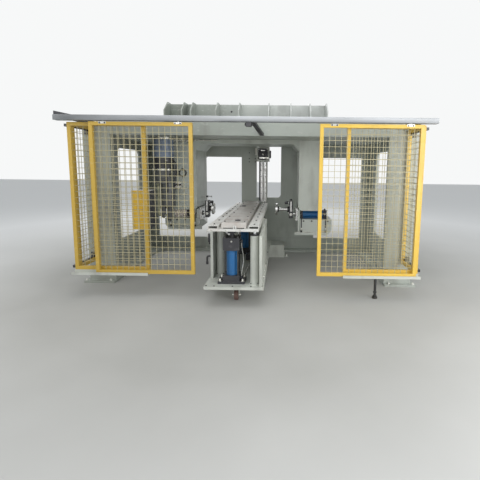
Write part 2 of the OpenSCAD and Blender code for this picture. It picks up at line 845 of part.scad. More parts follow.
// Upright panels along both sides of the carriage
module cart_panels() {
    z = [cart_top, panel_top];
    color(cart_grey) translate([axis_x, 0, 0]) {
        block([-panel_half - panel_t, -panel_half], [left_panel_front, panel_rear], z);
        block([panel_half, panel_half + panel_t], [right_panel_front, panel_rear], z);
    }
}

// Places of the four guides: one on each side at each lift station
guide_places = [
    for (station = [0, 1]) each [
        [axis_x - guide_x, left_guide_y + station * lift_pitch],
        [axis_x + guide_x, right_guide_y + station * lift_pitch]
    ]
];
lift_places = [for (station = [0, 1]) [axis_x + lift_x, lift_y + station * lift_pitch]];

module guide_sleeves() {
    ring_step = 2;
    bore_low = cart_top + bore_floor;
    color(cart_grey) for (place = guide_places) difference() {
        union() {
            bar_z(place[0], place[1], [cart_top, sleeve_top], sleeve_d);
            bar_z(place[0], place[1], [sleeve_top, sleeve_top + sleeve_ring_h], sleeve_d + 2 * ring_step);
        }
        bar_z(place[0], place[1], [bore_low, sleeve_top + sleeve_ring_h + overshoot], guide_rod_d + 2 * fit_gap);
    }
}

lift_foot_low = cart_top + lift_flange_t;
barrel_low = lift_foot_low + lift_foot_h;
head_low = barrel_low + lift_barrel_h;
head_top = head_low + lift_head_h;
module lift_cylinders() {
    half = lift_block / 2;
    tie_out = half - 1.2 * lift_tie_d;
    color(cylinder_blue) for (place = lift_places) translate([place[0], place[1], 0]) difference() {
        union() {
            block([-lift_flange_w / 2, lift_flange_w / 2], [-lift_flange_d / 2, lift_flange_d / 2],
                [cart_top, lift_foot_low]);
            block([-half, half], [-half, half], [lift_foot_low, barrel_low]);
            bar_z(0, 0, [barrel_low, head_low], lift_barrel_d);
            for (x = [-tie_out, tie_out], y = [-tie_out, tie_out]) bar_z(x, y, [barrel_low, head_low], lift_tie_d);
            block([-half, half], [-half, half], [head_low, head_top]);
        }
        bar_z(0, 0, [lift_foot_low + bore_floor, head_top + overshoot], lift_rod_d + 2 * fit_gap);
    }
}

// Everything on the table moves with it
table_under = table_top - tube_h - table_plate_t;
tube_low = table_top - tube_h;
rod_drop = 45;
module lift_rods() {
    clevis_w = 90;
    clevis_h = 50;
    color(bright_steel) {
        for (place = guide_places)
            bar_z(place[0], place[1], [cart_top + bore_floor + rod_drop, table_under], guide_rod_d);
        for (place = lift_places) {
            bar_z(place[0], place[1], [lift_foot_low + bore_floor + rod_drop, table_under - clevis_h], lift_rod_d);
            block([place[0] - clevis_w / 2, place[0] + clevis_w / 2], [place[1] - clevis_w / 2, place[1] + clevis_w / 2],
                [table_under - clevis_h, table_under]);
        }
    }
}

// Lower plate with a rectangular tube along each side and a stop in front of the centre plate
stop_d = 30;
module table_frame() {
    length = [cart_front, cart_rear];
    color(cart_grey) translate([axis_x, 0, 0]) {
        block([-table_half, table_half], length, [table_under, tube_low]);
        for (side = [-1, 1]) on_side(side) difference() {
            block([table_half - tube_w, table_half], length, [tube_low, table_top]);
            block([table_half - tube_w + tube_wall, table_half - tube_wall],
                [cart_front - overshoot, cart_rear + overshoot], [tube_low + tube_wall, table_top - tube_wall]);
        }
        block([0, stop_d], [cart_front, cart_front + stop_d], [tube_low, table_top]);
    }
}

// Centre plate with a bevelled front, on three ribs
module table_centre_plate() {
    half = table_half - tube_w - slot_w;
    front = cart_front + stop_d + touch_gap;
    low = tube_low + centre_rib_h;
    top = low + centre_plate_t;
    rib_w = 20;
    color(cart_grey) translate([axis_x, 0, 0]) {
        side_profile(-half, 2 * half) polygon([
            [front, low], [front + centre_bevel, top], [cart_rear, top], [cart_rear, low]
        ]);
        for (x = [-half, -rib_w / 2, half - rib_w]) block([x, x + rib_w], [front, cart_rear], [tube_low, low]);
    }
}

// Guard fence, with each panel drawn from its lower left corner
door_back = -fence_out - door_gap;
door_middle = door_back - fence_tube / 2;
fixed_h = fence_top - panel_low;
fixed_back = -fence_out + fence_tube;

// Crossing wires that fill a rectangle
module mesh(w, h) {
    across = floor(w / mesh_pitch);
    up = floor(h / mesh_pitch);
    for (i = [1 : across]) translate([i * w / (across + 1) - wire_w / 2, 0]) square([wire_w, h]);
    for (i = [1 : up]) translate([0, i * h / (up + 1) - wire_w / 2]) square([w, wire_w]);
}

module fence_panel(w, h) {
    inner_w = w - 2 * fence_tube;
    inner_h = h - 2 * fence_tube;
    upright_plate(0, fence_tube) difference() {
        square([w, h]);
        translate([fence_tube, fence_tube]) square([inner_w, inner_h]);
    }
    upright_plate((fence_tube - wire_t) / 2, wire_t) translate([fence_tube, fence_tube]) mesh(inner_w, inner_h);
}

// Trolley that runs on the rail's lips: a stem through the slot, an axle and two rollers
module hanger(x) {
    stem_w = 30;
    stem_t = 8;
    roller_w = 14;
    side_gap = 7;
    track_z = rail_low + rail_wall + touch_gap;
    axle_z = track_z + roller_d / 2;
    roller_out = rail_d / 2 - rail_wall - side_gap;
    block([x - stem_w / 2, x + stem_w / 2], [door_middle - stem_t / 2, door_middle + stem_t / 2],
        [door_top, axle_z + stem_t]);
    bar_y(x, [door_middle - roller_out, door_middle + roller_out], axle_z, stem_t);
    bar_y(x, [door_middle - roller_out, door_middle - roller_out + roller_w], axle_z, roller_d);
    bar_y(x, [door_middle + roller_out - roller_w, door_middle + roller_out], axle_z, roller_d);
}

module sliding_door(x) {
    middle = x + door_w / 2;
    color(guard_yellow) {
        translate([x, door_back - fence_tube, door_low]) fence_panel(door_w, door_top - door_low);
        for (end = [-1, 1]) hanger(middle + end * hanger_pitch / 2);
    }
}

module fixed_panel(side) {
    color(guard_yellow) on_side(side) translate([fixed_inner, -fence_out, panel_low])
        fence_panel(fixed_outer - fixed_inner, fixed_h);
}

// Short panel from the fence's corner back to the column
side_fence_gap = 10;
module side_fence(side) {
    color(guard_yellow) on_side(side) translate([fixed_outer, fixed_back, panel_low]) rotate([0, 0, 90])
        fence_panel(-fixed_back - side_fence_gap, fixed_h);
}

// Tray under each fixed panel that a door runs in, with a leg and a round foot under the right one
tray_front = door_back - fence_tube - tray_gap - tray_wall;
tray_low = door_low - tray_gap - tray_wall;
module fence_sills() {
    end_lip = 10;
    floor_top = tray_low + tray_wall;
    leg_y = -fence_out + fence_tube / 2;
    foot_disc_h = 20;
    color(frame_grey) {
        for (side = [-1, 1]) on_side(side)
            side_profile(fixed_inner - end_lip, fixed_outer - fixed_inner + 2 * end_lip) polygon([
                [tray_front, tray_low], [fixed_back, tray_low], [fixed_back, panel_low], [-fence_out, panel_low],
                [-fence_out, floor_top], [tray_front + tray_wall, floor_top],
                [tray_front + tray_wall, door_low + tray_rise], [tray_front, door_low + tray_rise]
            ]);
        bar_z(fence_leg_x, leg_y, [0, tray_low], fence_leg_d);
        bar_z(fence_leg_x, leg_y, [0, foot_disc_h], 2 * fence_leg_d);
    }
}

// Bars that tie the fence's corners back to the columns, low and high
module fence_brackets() {
    end_gap = 20;
    color(dark_grey) for (side = [-1, 1], z = [panel_low + end_gap, fence_top - end_gap - bracket_w])
        on_side(side) block([fixed_outer, fixed_outer + bracket_w], [-fence_out, 0], [z, z + bracket_w]);
}

// Channel with round upper edges and a slot underneath
module door_rail() {
    half = rail_d / 2;
    inner = half - rail_wall;
    slot = rail_slot / 2;
    color(frame_grey) translate([0, door_middle, rail_low]) side_profile(-rail_l / 2, rail_l) difference() {
        union() {
            translate([-half, 0]) square([rail_d, rail_h - rail_r]);
            translate([rail_r - half, rail_h - rail_r]) square([rail_d - 2 * rail_r, rail_r]);
            for (y = [rail_r - half, half - rail_r]) translate([y, rail_h - rail_r]) circle(r = rail_r);
        }
        translate([-slot, -overshoot]) square([rail_slot, 2 * overshoot]);
        translate([-inner, rail_wall]) square([2 * inner, rail_h - rail_r - rail_wall]);
    }
}

// Strut from the rail's back that slants down and to the right, cut flush with rail and front beam
rail_back = door_middle + rail_d / 2;
module rail_strut() {
    width = 50;
    thickness = 30;
    start_x = 45;
    sideways = 80;
    drop = 105;
    run = -rail_back;
    top = rail_low + rail_h - rail_r - rail_wall;
    long = 1.2 * run;
    lift = overshoot * drop / run;
    fall = long * drop / run;
    intersection() {
        block([start_x - width, start_x + 2 * sideways], [rail_back, 0], [rail_low - drop, rail_low + rail_h]);
        translate([start_x, rail_back, 0]) rotate([0, 0, -atan(sideways / run)]) side_profile(0, width) polygon([
            [-overshoot, top + lift], [long, top - fall],
            [long, top - fall - thickness], [-overshoot, top + lift - thickness]
        ]);
    }
}

// Arms from the columns, the strut, the stop between the doors and the wedge on the rail's left end
module rail_supports() {
    arm_w = 60;
    arm_h = 40;
    arm_inset = 200;
    stop_x = 6;
    stop_w = 60;
    stop_h = 50;
    wedge_l = 200;
    wedge_h = 40;
    wedge_w = 40;
    arm_low = rail_low + rail_wall;
    rail_top = rail_low + rail_h;
    color(dark_grey) {
        for (side = [-1, 1]) on_side(side)
            block([frame_half - arm_inset, frame_half - arm_inset + arm_w], [rail_back, 0], [arm_low, arm_low + arm_h]);
        rail_strut();
        block([stop_x, stop_x + stop_w], [door_middle - stop_w / 2, door_middle + stop_w / 2],
            [rail_low - stop_h, rail_low]);
        upright_plate(door_middle - wedge_w / 2, wedge_w) polygon([
            [-rail_l / 2, rail_top], [wedge_l - rail_l / 2, rail_top], [-rail_l / 2, rail_top + wedge_h]
        ]);
    }
}

// Box behind the left fixed panel's inner post, with a cover towards the front
module control_box() {
    x = [-fixed_inner - control_w, -fixed_inner];
    z = [control_low, control_low + control_h];
    edge = 5;
    color(guard_yellow) {
        block(x, [fixed_back, fixed_back + control_cover_t], z);
        block([x[0] + edge, x[1] - edge], [fixed_back + control_cover_t, fixed_back + control_d],
            [z[0] + edge, z[1] - edge]);
    }
}

placed() front_column(-1);  // left_front_column
placed() front_column(1);  // right_front_column
placed() front_beam();
placed() side_plate(-1);  // left_side_plate
placed() side_plate(1);  // right_side_plate
placed() top_deck();
placed() base_flange();
placed() rear_sill_beam();
placed() rear_frame(-1, -centre_wall_left);  // left_rear_frame
placed() rear_frame(1, centre_wall_right);  // right_rear_frame
placed() rear_centre_wall();
placed() crossbeam();
placed() crossbeam_ribs();
placed() portal_lintel();
placed() pier(-1);  // left_pier
placed() pier(1);  // right_pier
placed() head_bed(-1, left_bed_low);  // left_head_bed
placed() head_bed(1, right_bed_low);  // right_head_bed
placed() feed_cylinders();
placed() spindle(-1, left_nose_x);  // left_spindle
placed() spindle(1, right_nose_x);  // right_spindle
placed() head_hoses();
placed() hydraulic_unit();
placed() left_pipework();
placed() rear_slide();
placed() rear_head();
placed() cart_base();
placed() cart_panels();
placed() castor_wheel();
placed() guide_sleeves();
placed() lift_cylinders();
placed() lift_rods();
placed() table_frame();
placed() table_centre_plate();
placed() door_rail();
placed() rail_supports();
placed() sliding_door(left_door_x);  // left_door
placed() sliding_door(right_door_x);  // right_door
placed() fixed_panel(-1);  // left_fixed_panel
placed() fixed_panel(1);  // right_fixed_panel
placed() side_fence(-1);  // left_side_fence
placed() side_fence(1);  // right_side_fence
placed() fence_sills();
placed() fence_brackets();
placed() control_box();
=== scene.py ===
"""Dresses the portal rolling machine: paints, steels, fasteners, fittings, floor, light and camera.

Places are in metres in the frame's own axes. The sizes of small parts, and steps from a place, are
in millimetres, and mm() and the mesh helpers turn them into metres.
"""

import math
import random

import bmesh
import bpy
from mathutils import Matrix, Vector


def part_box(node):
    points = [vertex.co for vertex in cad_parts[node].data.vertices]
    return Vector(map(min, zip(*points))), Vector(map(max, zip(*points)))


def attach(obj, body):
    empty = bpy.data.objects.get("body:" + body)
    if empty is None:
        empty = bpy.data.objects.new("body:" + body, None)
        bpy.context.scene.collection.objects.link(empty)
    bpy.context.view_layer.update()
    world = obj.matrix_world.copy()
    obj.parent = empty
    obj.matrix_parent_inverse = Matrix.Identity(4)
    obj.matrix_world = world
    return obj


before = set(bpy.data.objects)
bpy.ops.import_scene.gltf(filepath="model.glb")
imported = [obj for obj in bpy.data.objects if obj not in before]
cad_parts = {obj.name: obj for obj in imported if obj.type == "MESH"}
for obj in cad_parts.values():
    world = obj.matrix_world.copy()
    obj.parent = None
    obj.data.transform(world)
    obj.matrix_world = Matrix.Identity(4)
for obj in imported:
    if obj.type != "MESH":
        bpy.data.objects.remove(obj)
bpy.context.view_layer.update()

MM = 0.001
UP = Vector((0, 0, 1))
FRONT = Vector((0, -1, 0))
BACK = Vector((0, 1, 0))
RIGHT = Vector((1, 0, 0))
SIDES = (-1, 1)
chance = random.Random(7)


def low(node):
    return Vector(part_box(node)[0])


def high(node):
    return Vector(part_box(node)[1])


def mm(x, y, z):
    """A step in millimetres along the three axes."""
    return Vector((x, y, z)) * MM


def spread(start, end, count):
    """Evenly spaced values from start to end."""
    return [start + (end - start) * i / (count - 1) for i in range(count)]


def turns(count):
    """Angles evenly round a circle."""
    return [2 * math.pi * i / count for i in range(count)]


def grid(xs, ys, zs):
    """Places at every mix of the three lists' values."""
    return [Vector((x, y, z)) for x in xs for y in ys for z in zs]


# Places that several pieces share, taken from the frame
FRONT_Y = low("front_beam").y
AXIS_X = (low("table_frame").x + high("table_frame").x) / 2
DECK_LOW = low("top_deck").z
PORTAL_Y = low("left_pier").y
BED_TOP = high("left_head_bed").z - 145 * MM
BED_FRONT = PORTAL_Y + 100 * MM
HEAD_Y = (low("left_spindle").y + high("left_spindle").y) / 2
SPINDLE_Z = high("left_spindle").z - 130 * MM
FEED_Z = (low("feed_cylinders").z + high("feed_cylinders").z) / 2
FEED_TOP = high("feed_cylinders").z
RAIL_LOW = low("door_rail").z
PANEL_FRONT = low("left_fixed_panel").y
PANEL_BACK = high("left_fixed_panel").y
PANEL_TOP = high("left_fixed_panel").z
DOOR_FRONT = PANEL_FRONT - 60 * MM

# Distances along a side head from the table's working axis
CHEEK_OUT = 790 * MM
FLANGE_IN = 730 * MM
CROSSHEAD_OUT = 685 * MM
CROSSHEAD_IN = 625 * MM
CROSSHEAD_MIDDLE = (CROSSHEAD_IN + CROSSHEAD_OUT) / 2
CYLINDER_OUT = high("feed_cylinders").x - AXIS_X
PORTS_OUT = (CHEEK_OUT + 25 * MM, CYLINDER_OUT - 25 * MM)

# Lift cylinders on the carriage plate: middle of each foot and of each head
LIFT_PITCH = 1320 * MM
LIFT_X = (low("lift_cylinders").x + high("lift_cylinders").x) / 2
LIFT_FRONT_Y = low("lift_cylinders").y + 100 * MM
LIFT_YS = (LIFT_FRONT_Y, LIFT_FRONT_Y + LIFT_PITCH)
LIFT_FEET = grid((LIFT_X,), LIFT_YS, (high("cart_base").z,))
LIFT_HEADS = grid((LIFT_X,), LIFT_YS, (high("lift_cylinders").z,))
PIPE_SIDE, PIPE_FORWARD = 108, -30

# Ribs along the crossbeam from its left end, in millimetres
RIBS = (0, 250, 380, 745, 1075, 1510, 1835, 2120, 2364)
RIB_T = 16

# Camera, fitted to the photograph's edges
CAMERA_PLACE = Vector((0.405, FRONT_Y - 4.356, 1.524))
CAMERA_YAW = 0.39
CAMERA_PITCH = -7.085
CAMERA_ROLL = 0.653
IMAGE_SIZE = 480
FOCAL_PIXELS = 342.8
PRINCIPAL_PIXEL = (279.0, 209.9)
SENSOR_MM = 36


def add_camera():
    data = bpy.data.cameras.new("camera")
    data.sensor_width = SENSOR_MM
    data.lens = FOCAL_PIXELS / IMAGE_SIZE * SENSOR_MM
    data.shift_x = (IMAGE_SIZE / 2 - PRINCIPAL_PIXEL[0]) / IMAGE_SIZE
    data.shift_y = (PRINCIPAL_PIXEL[1] - IMAGE_SIZE / 2) / IMAGE_SIZE
    camera = bpy.data.objects.new("camera", data)
    bpy.context.scene.collection.objects.link(camera)
    turn = Matrix.Rotation(math.radians(CAMERA_YAW), 4, "Z")
    tilt = Matrix.Rotation(math.radians(90 + CAMERA_PITCH), 4, "X")
    roll = Matrix.Rotation(math.radians(CAMERA_ROLL), 4, "Z")
    camera.matrix_world = Matrix.Translation(CAMERA_PLACE) @ turn @ tilt @ roll
    bpy.context.scene.camera = camera


# Node-based materials
class Nodes:
    """A material's node tree with short calls to add and join nodes."""

    def __init__(self, name):
        self.material = bpy.data.materials.new(name)
        self.material.use_nodes = True
        self.tree = self.material.node_tree
        self.shader = self.tree.nodes["Principled BSDF"]
        self.place = self.add("ShaderNodeTexCoord").outputs["Object"]

    def add(self, kind, **settings):
        node = self.tree.nodes.new(kind)
        for name, value in settings.items():
            setattr(node, name, value)
        return node

    def join(self, source, target):
        self.tree.links.new(source, target)

    def noise(self, scale, detail=4, stretch=(1, 1, 1)):
        mapping = self.add("ShaderNodeMapping")
        mapping.inputs["Scale"].default_value = stretch
        self.join(self.place, mapping.inputs["Vector"])
        noise = self.add("ShaderNodeTexNoise")
        noise.inputs["Scale"].default_value = scale
        noise.inputs["Detail"].default_value = detail
        self.join(mapping.outputs["Vector"], noise.inputs["Vector"])
        return noise.outputs["Fac"]

    def ramp(self, source, start, end, low_value=0.0, high_value=1.0):
        node = self.add("ShaderNodeMapRange")
        settings = {"From Min": start, "From Max": end, "To Min": low_value, "To Max": high_value}
        for name, value in settings.items():
            node.inputs[name].default_value = value
        self.join(source, node.inputs["Value"])
        return node.outputs["Result"]

    def product(self, first, second):
        node = self.add("ShaderNodeMath", operation="MULTIPLY")
        self.join(first, node.inputs[0])
        self.join(second, node.inputs[1])
        return node.outputs["Value"]

    def mix(self, factor, first, second):
        node = self.add("ShaderNodeMix", data_type="RGBA")
        self.join(factor, node.inputs["Factor"])
        for socket, value in ((node.inputs["A"], first), (node.inputs["B"], second)):
            if isinstance(value, tuple):
                socket.default_value = (*value, 1)
            else:
                self.join(value, socket)
        return node.outputs["Result"]

    def axis(self, name):
        """Place along the axis X, Y or Z."""
        parts = self.add("ShaderNodeSeparateXYZ")
        self.join(self.place, parts.inputs["Vector"])
        return parts.outputs[name]

    def edges(self, radius):
        """1 along the object's edges and 0 on its flats, with the rounded normal that shows it."""
        rounded = self.add("ShaderNodeBevel", samples=4)
        rounded.inputs["Radius"].default_value = radius * MM
        flat = self.add("ShaderNodeNewGeometry").outputs["Normal"]
        dot = self.add("ShaderNodeVectorMath", operation="DOT_PRODUCT")
        self.join(rounded.outputs["Normal"], dot.inputs[0])
        self.join(flat, dot.inputs[1])
        return self.ramp(dot.outputs["Value"], 0.995, 0.9), rounded.outputs["Normal"]

    def worn_edges(self, base, worn, radius, share):
        """Sets the base colour with its edges worn through in patches. Returns the rounded normal."""
        rim, rounded = self.edges(radius)
        rubbed = self.product(rim, share)
        self.colour(self.mix(rubbed, base, worn))
        return rounded

    def colour(self, source):
        self.join(source, self.shader.inputs["Base Color"])

    def roughness(self, noise, start, end):
        self.join(self.ramp(noise, 0.3, 0.7, start, end), self.shader.inputs["Roughness"])

    def bump(self, height, strength, depth, normal=None):
        node = self.add("ShaderNodeBump")
        node.inputs["Strength"].default_value = strength
        node.inputs["Distance"].default_value = depth * MM
        self.join(height, node.inputs["Height"])
        if normal:
            self.join(normal, node.inputs["Normal"])
        self.join(node.outputs["Normal"], self.shader.inputs["Normal"])


GRIME = (0.17, 0.16, 0.14)
BARE = (0.62, 0.61, 0.58)
PALE = (0.93, 0.94, 0.94)


def shaded(colour, share):
    """The colour at a share of its strength, and no brighter than white."""
    return tuple(min(1.0, channel * share) for channel in colour)


def paint(name, colour, dirt=GRIME, worn=BARE, roughness=0.45, wear=0.35, edge=2.5, scuffs=0.25,
          painted_left_shade=None):
    """Sprayed enamel: cloudy tone, faint grime, scuffs, orange peel and edges rubbed thin, with painted shade
    darker towards the left when a left colour is given.
    """
    nodes = Nodes(name)
    cloud = nodes.ramp(nodes.noise(1.7, 6), 0.35, 0.7)
    grime = nodes.ramp(nodes.noise(5, 8, (1, 1, 0.35)), 0.52, 0.78, 0, 0.5)
    scuff = nodes.ramp(nodes.noise(13, 9, (1, 1, 2.5)), 0.6, 0.72, 0, scuffs)
    base = nodes.mix(cloud, colour, shaded(colour, 1.12))
    # Painted shade: the enamel darkens towards the left, to the colour given for it, where less light falls.
    if painted_left_shade:
        base = nodes.mix(nodes.ramp(nodes.axis("X"), -1.2, 0.5), painted_left_shade, base)
    base = nodes.mix(grime, base, dirt)
    base = nodes.mix(scuff, base, worn)
    rounded = nodes.worn_edges(base, worn, edge, nodes.ramp(nodes.noise(38, 5), 0.5, 0.62, 0, wear * 2))
    nodes.roughness(nodes.noise(9, 5), roughness - 0.08, roughness + 0.12)
    nodes.bump(nodes.noise(220, 2), 0.12, 0.4, rounded)
    return nodes.material


def rail_paint(name, top_colour, painted_underside_shade):
    """Enamelled rail with a pale upper edge, and painted shade: a darker lower half where shade falls under
    it and a darker left end where less light falls.
    """
    nodes = Nodes(name)
    # Painted shade: the rail's lower half takes the dark colour given for the shade under it.
    height = nodes.ramp(nodes.axis("Z"), RAIL_LOW, RAIL_LOW + 38 * MM)
    cloud = nodes.ramp(nodes.noise(2.2, 7, (1, 1, 3)), 0.35, 0.68, 0, 0.6)
    # Painted shade: the upper colour darkens towards the rail's left end, where less light falls.
    along = nodes.ramp(nodes.axis("X"), -2.1, 0)
    base = nodes.mix(height, painted_underside_shade, nodes.mix(along, shaded(top_colour, 0.24), top_colour))
    base = nodes.mix(cloud, base, shaded(top_colour, 0.7))
    rounded = nodes.worn_edges(base, BARE, 3, nodes.ramp(nodes.noise(30, 5), 0.48, 0.62, 0, 0.8))
    nodes.roughness(nodes.noise(9, 5), 0.3, 0.5)
    nodes.bump(nodes.noise(160, 2), 0.12, 0.4, rounded)
    return nodes.material


def steel(name, colour, stain, roughness=0.32, stretch=(1, 1, 1), metal=1.0, stain_share=0.5):
    """Machined steel with fine tool lines and faint stains."""
    nodes = Nodes(name)
    nodes.shader.inputs["Metallic"].default_value = metal
    stained = nodes.ramp(nodes.noise(6, 7), 0.48, 0.72, 0, stain_share)
    lines = nodes.noise(160, 3, stretch)
    shade = nodes.mix(nodes.ramp(lines, 0.3, 0.7), shaded(colour, 0.88), colour)
    nodes.colour(nodes.mix(stained, shade, stain))
    nodes.roughness(nodes.noise(24, 5, stretch), roughness - 0.1, roughness + 0.16)
    nodes.bump(lines, 0.15, 0.2, nodes.edges(1.2)[1])
    return nodes.material


def soft_black(name, colour, roughness=0.6, scale=300):
    """Rubber or moulded plastic with a fine grain and dust in its hollows."""
    nodes = Nodes(name)
    dust = nodes.ramp(nodes.noise(14, 6), 0.5, 0.8, 0, 0.5)
    nodes.colour(nodes.mix(dust, colour, tuple(min(1.0, c * 1.6 + 0.05) for c in colour)))
    nodes.roughness(nodes.noise(30, 4), roughness - 0.1, roughness + 0.1)
    nodes.bump(nodes.noise(scale, 2), 0.25, 0.3)
    return nodes.material


LONG_LINES = (1, 0.05, 1)
# The left colours of the frame, beam, crossbeam and guard enamels are painted shade, darker towards the left.
MATERIALS = {
    "frame": paint("frame_enamel", (0.43, 0.46, 0.42), worn=(0.55, 0.56, 0.53),
                   painted_left_shade=(0.34, 0.36, 0.32)),
    "beam": paint("beam_enamel", (0.35, 0.38, 0.345), worn=(0.5, 0.51, 0.48), scuffs=0.4,
                  painted_left_shade=(0.26, 0.28, 0.25)),
    "portal": paint("portal_enamel", (0.40, 0.43, 0.39), worn=(0.52, 0.53, 0.5)),
    # Painted light: a lighter copy of the portal enamel for the right pier and right head bed, which stand in
    # more light.
    "portal_painted_lit": paint("right_portal_painted_light_enamel", (0.50, 0.53, 0.49), worn=(0.6, 0.61, 0.58)),
    "crossbeam": paint("crossbeam_enamel", (0.56, 0.58, 0.56), worn=(0.68, 0.69, 0.67), scuffs=0.5,
                       painted_left_shade=(0.30, 0.33, 0.29)),
    "cart": paint("carriage_enamel", (0.52, 0.54, 0.49)),
    # The rail's second colour is painted shade for its lower half.
    "rail": rail_paint("rail_enamel", (0.52, 0.54, 0.56), (0.13, 0.14, 0.145)),
    "yellow": paint("guard_enamel", (0.72, 0.48, 0.075), (0.42, 0.28, 0.06), (0.72, 0.6, 0.35), 0.36, 0.3,
                    painted_left_shade=(0.54, 0.36, 0.06)),
    "amber": paint("box_enamel", (0.66, 0.42, 0.03), (0.42, 0.26, 0.04), (0.75, 0.6, 0.3), 0.4, 0.3),
    "mesh": paint("mesh_wire", (0.40, 0.36, 0.22), (0.3, 0.27, 0.17), (0.6, 0.57, 0.46), 0.45, 0.2, 0.5),
    "black": paint("fitting_enamel", (0.035, 0.035, 0.04), (0.09, 0.085, 0.08), (0.25, 0.25, 0.25),
                   0.42, 0.3),
    "blue": paint("cylinder_enamel", (0.02, 0.13, 0.33), (0.05, 0.07, 0.09), (0.3, 0.33, 0.36), 0.33, 0.25),
    "unit_blue": paint("unit_enamel", (0.15, 0.19, 0.26), (0.06, 0.06, 0.06), BARE, 0.4, 0.3),
    "motor": paint("motor_enamel", (0.88, 0.80, 0.74), (0.6, 0.54, 0.5), BARE, 0.5, 0.2, scuffs=0.1),
    "cover": paint("cover_enamel", (0.84, 0.84, 0.78), (0.6, 0.58, 0.52), BARE, 0.45, 0.2, scuffs=0.1),
    "unit_grey": paint("unit_lower_enamel", (0.085, 0.09, 0.09), (0.05, 0.05, 0.045), (0.3, 0.3, 0.3),
                       0.4, 0.3),
    "olive": paint("pipe_enamel", (0.27, 0.27, 0.18), wear=0.3),
    "steel": steel("turned_steel", (0.62, 0.62, 0.61), (0.3, 0.28, 0.25)),
    "rod": steel("ground_rod", (0.75, 0.76, 0.77), (0.5, 0.5, 0.5), 0.16),
    "table": steel("table_plate", (0.50, 0.48, 0.45), (0.32, 0.25, 0.21), 0.5, LONG_LINES, 0.2, 0.7),
    "table_tube": steel("table_tube", (0.72, 0.72, 0.69), (0.42, 0.36, 0.31), 0.5, LONG_LINES, 0.15, 0.6),
    "zinc": steel("zinc_bolt", (0.66, 0.66, 0.62), (0.36, 0.33, 0.26), 0.3),
    "dark_steel": steel("blackened_bolt", (0.10, 0.10, 0.10), (0.2, 0.18, 0.15), 0.4),
    "rubber": soft_black("hose_rubber", (0.02, 0.02, 0.022)),
    "plastic": soft_black("moulded_black", (0.03, 0.03, 0.035), 0.45, 420),
    # Pale moulding; the same material is a painted highlight on the bed ledges and on the control box's top.
    "pale_plastic_and_painted_highlight": soft_black("moulded_pale_and_painted_highlight", (0.66, 0.64, 0.58), 0.5, 420),
    "wheel": soft_black("castor_tread", (0.15, 0.09, 0.075), 0.65, 200),
    "weld": paint("weld_bead", (0.36, 0.39, 0.36), GRIME, (0.5, 0.5, 0.48), 0.4, 0.2, 0.5),
}
NODES_OF = {
    "frame": ("left_front_column", "right_front_column", "left_side_plate", "right_side_plate", "top_deck",
              "base_flange", "rear_sill_beam", "left_rear_frame", "right_rear_frame", "rear_centre_wall"),
    "beam": ("front_beam",),
    "crossbeam": ("crossbeam", "crossbeam_ribs"),
    "portal": ("portal_lintel", "left_pier"),
    "portal_painted_lit": ("right_pier",),
    "rubber": ("head_hoses",),
    "cart": ("cart_base", "cart_panels"),
    "wheel": ("castor_wheel",),
    "table_tube": ("table_frame",),
    "table": ("table_centre_plate",),
    "rail": ("door_rail",),
    "black": ("rail_supports", "fence_brackets"),
}


def assign(node, choose):
    """Gives each face of a CAD node the material that choose names from its centre and normal."""
    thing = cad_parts[node]
    thing.data.materials.clear()
    slots = []
    for face in thing.data.polygons:
        name = choose(face.center, face.normal)
        if name not in slots:
            slots.append(name)
            thing.data.materials.append(MATERIALS[name])
        face.material_index = slots.index(name)


def paint_fence_panel(node, across):
    """Yellow tube frame with pale wires in it and bright hangers. across is the axis along the panel."""
    tube = 41 * MM
    start, end = low(node), high(node)

    def choose(place, normal):
        if place.z > PANEL_TOP + MM:
            return "zinc"
        inside = start[across] + tube < place[across] < end[across] - tube
        return "mesh" if inside and start.z + tube < place.z < PANEL_TOP - tube else "yellow"

    assign(node, choose)


def paint_hydraulic_unit():
    """Bands of the upright unit, from its cap down."""
    cap_low = high("hydraulic_unit").z - 25 * MM
    body_low = cap_low - 255 * MM
    band_low = body_low - 155 * MM
    ring_low = band_low - 22 * MM

    def choose(place, normal):
        if place.z > cap_low - MM or ring_low < place.z < band_low + MM:
            return "zinc"
        if place.z > body_low:
            return "unit_blue"
        return "black" if place.z > ring_low else "unit_grey"

    assign("hydraulic_unit", choose)


def paint_feed_cylinders():
    """The right cylinder is blue between black blocks, the left one pale between grey blocks."""
    block, barrel = 50 * MM, 320 * MM

    def choose(place, normal):
        on_barrel = CYLINDER_OUT - block - barrel + MM < abs(place.x - AXIS_X) < CYLINDER_OUT - block - MM
        if place.x < AXIS_X:
            return "motor" if on_barrel else "cart"
        return "blue" if on_barrel else "black"

    assign("feed_cylinders", choose)


def paint_left_pipework():
    """Bright pipes and a pale valve, with a black hose loop between them."""
    loop_low, loop_high = 1.36, 1.50
    valve_low, valve_high = 1.198, 1.295

    def choose(place, normal):
        if loop_low < place.z < loop_high:
            return "rubber"
        if valve_low < place.z < valve_high:
            return "pale_plastic_and_painted_highlight"
        return "zinc" if place.z > loop_high else "black"

    assign("left_pipework", choose)


def paint_rear_slide():
    """Bright slide and screw between a black left rail and a grey right one."""
    start, end = low("rear_slide"), high("rear_slide")
    rail = 25 * MM
    slide_front = end.y - 60 * MM

    def choose(place, normal):
        if place.y > slide_front + MM:
            return "steel"
        if place.x < start.x + rail + MM:
            return "black"
        return "cart" if place.x > end.x - rail - MM else "steel"

    assign("rear_slide", choose)


def paint_spindle(node):
    """Bright turned parts on a black crosshead."""
    def choose(place, normal):
        on_crosshead = CROSSHEAD_IN - MM < abs(place.x - AXIS_X) < CROSSHEAD_OUT + MM
        return "black" if on_crosshead else "steel"

    assign(node, choose)


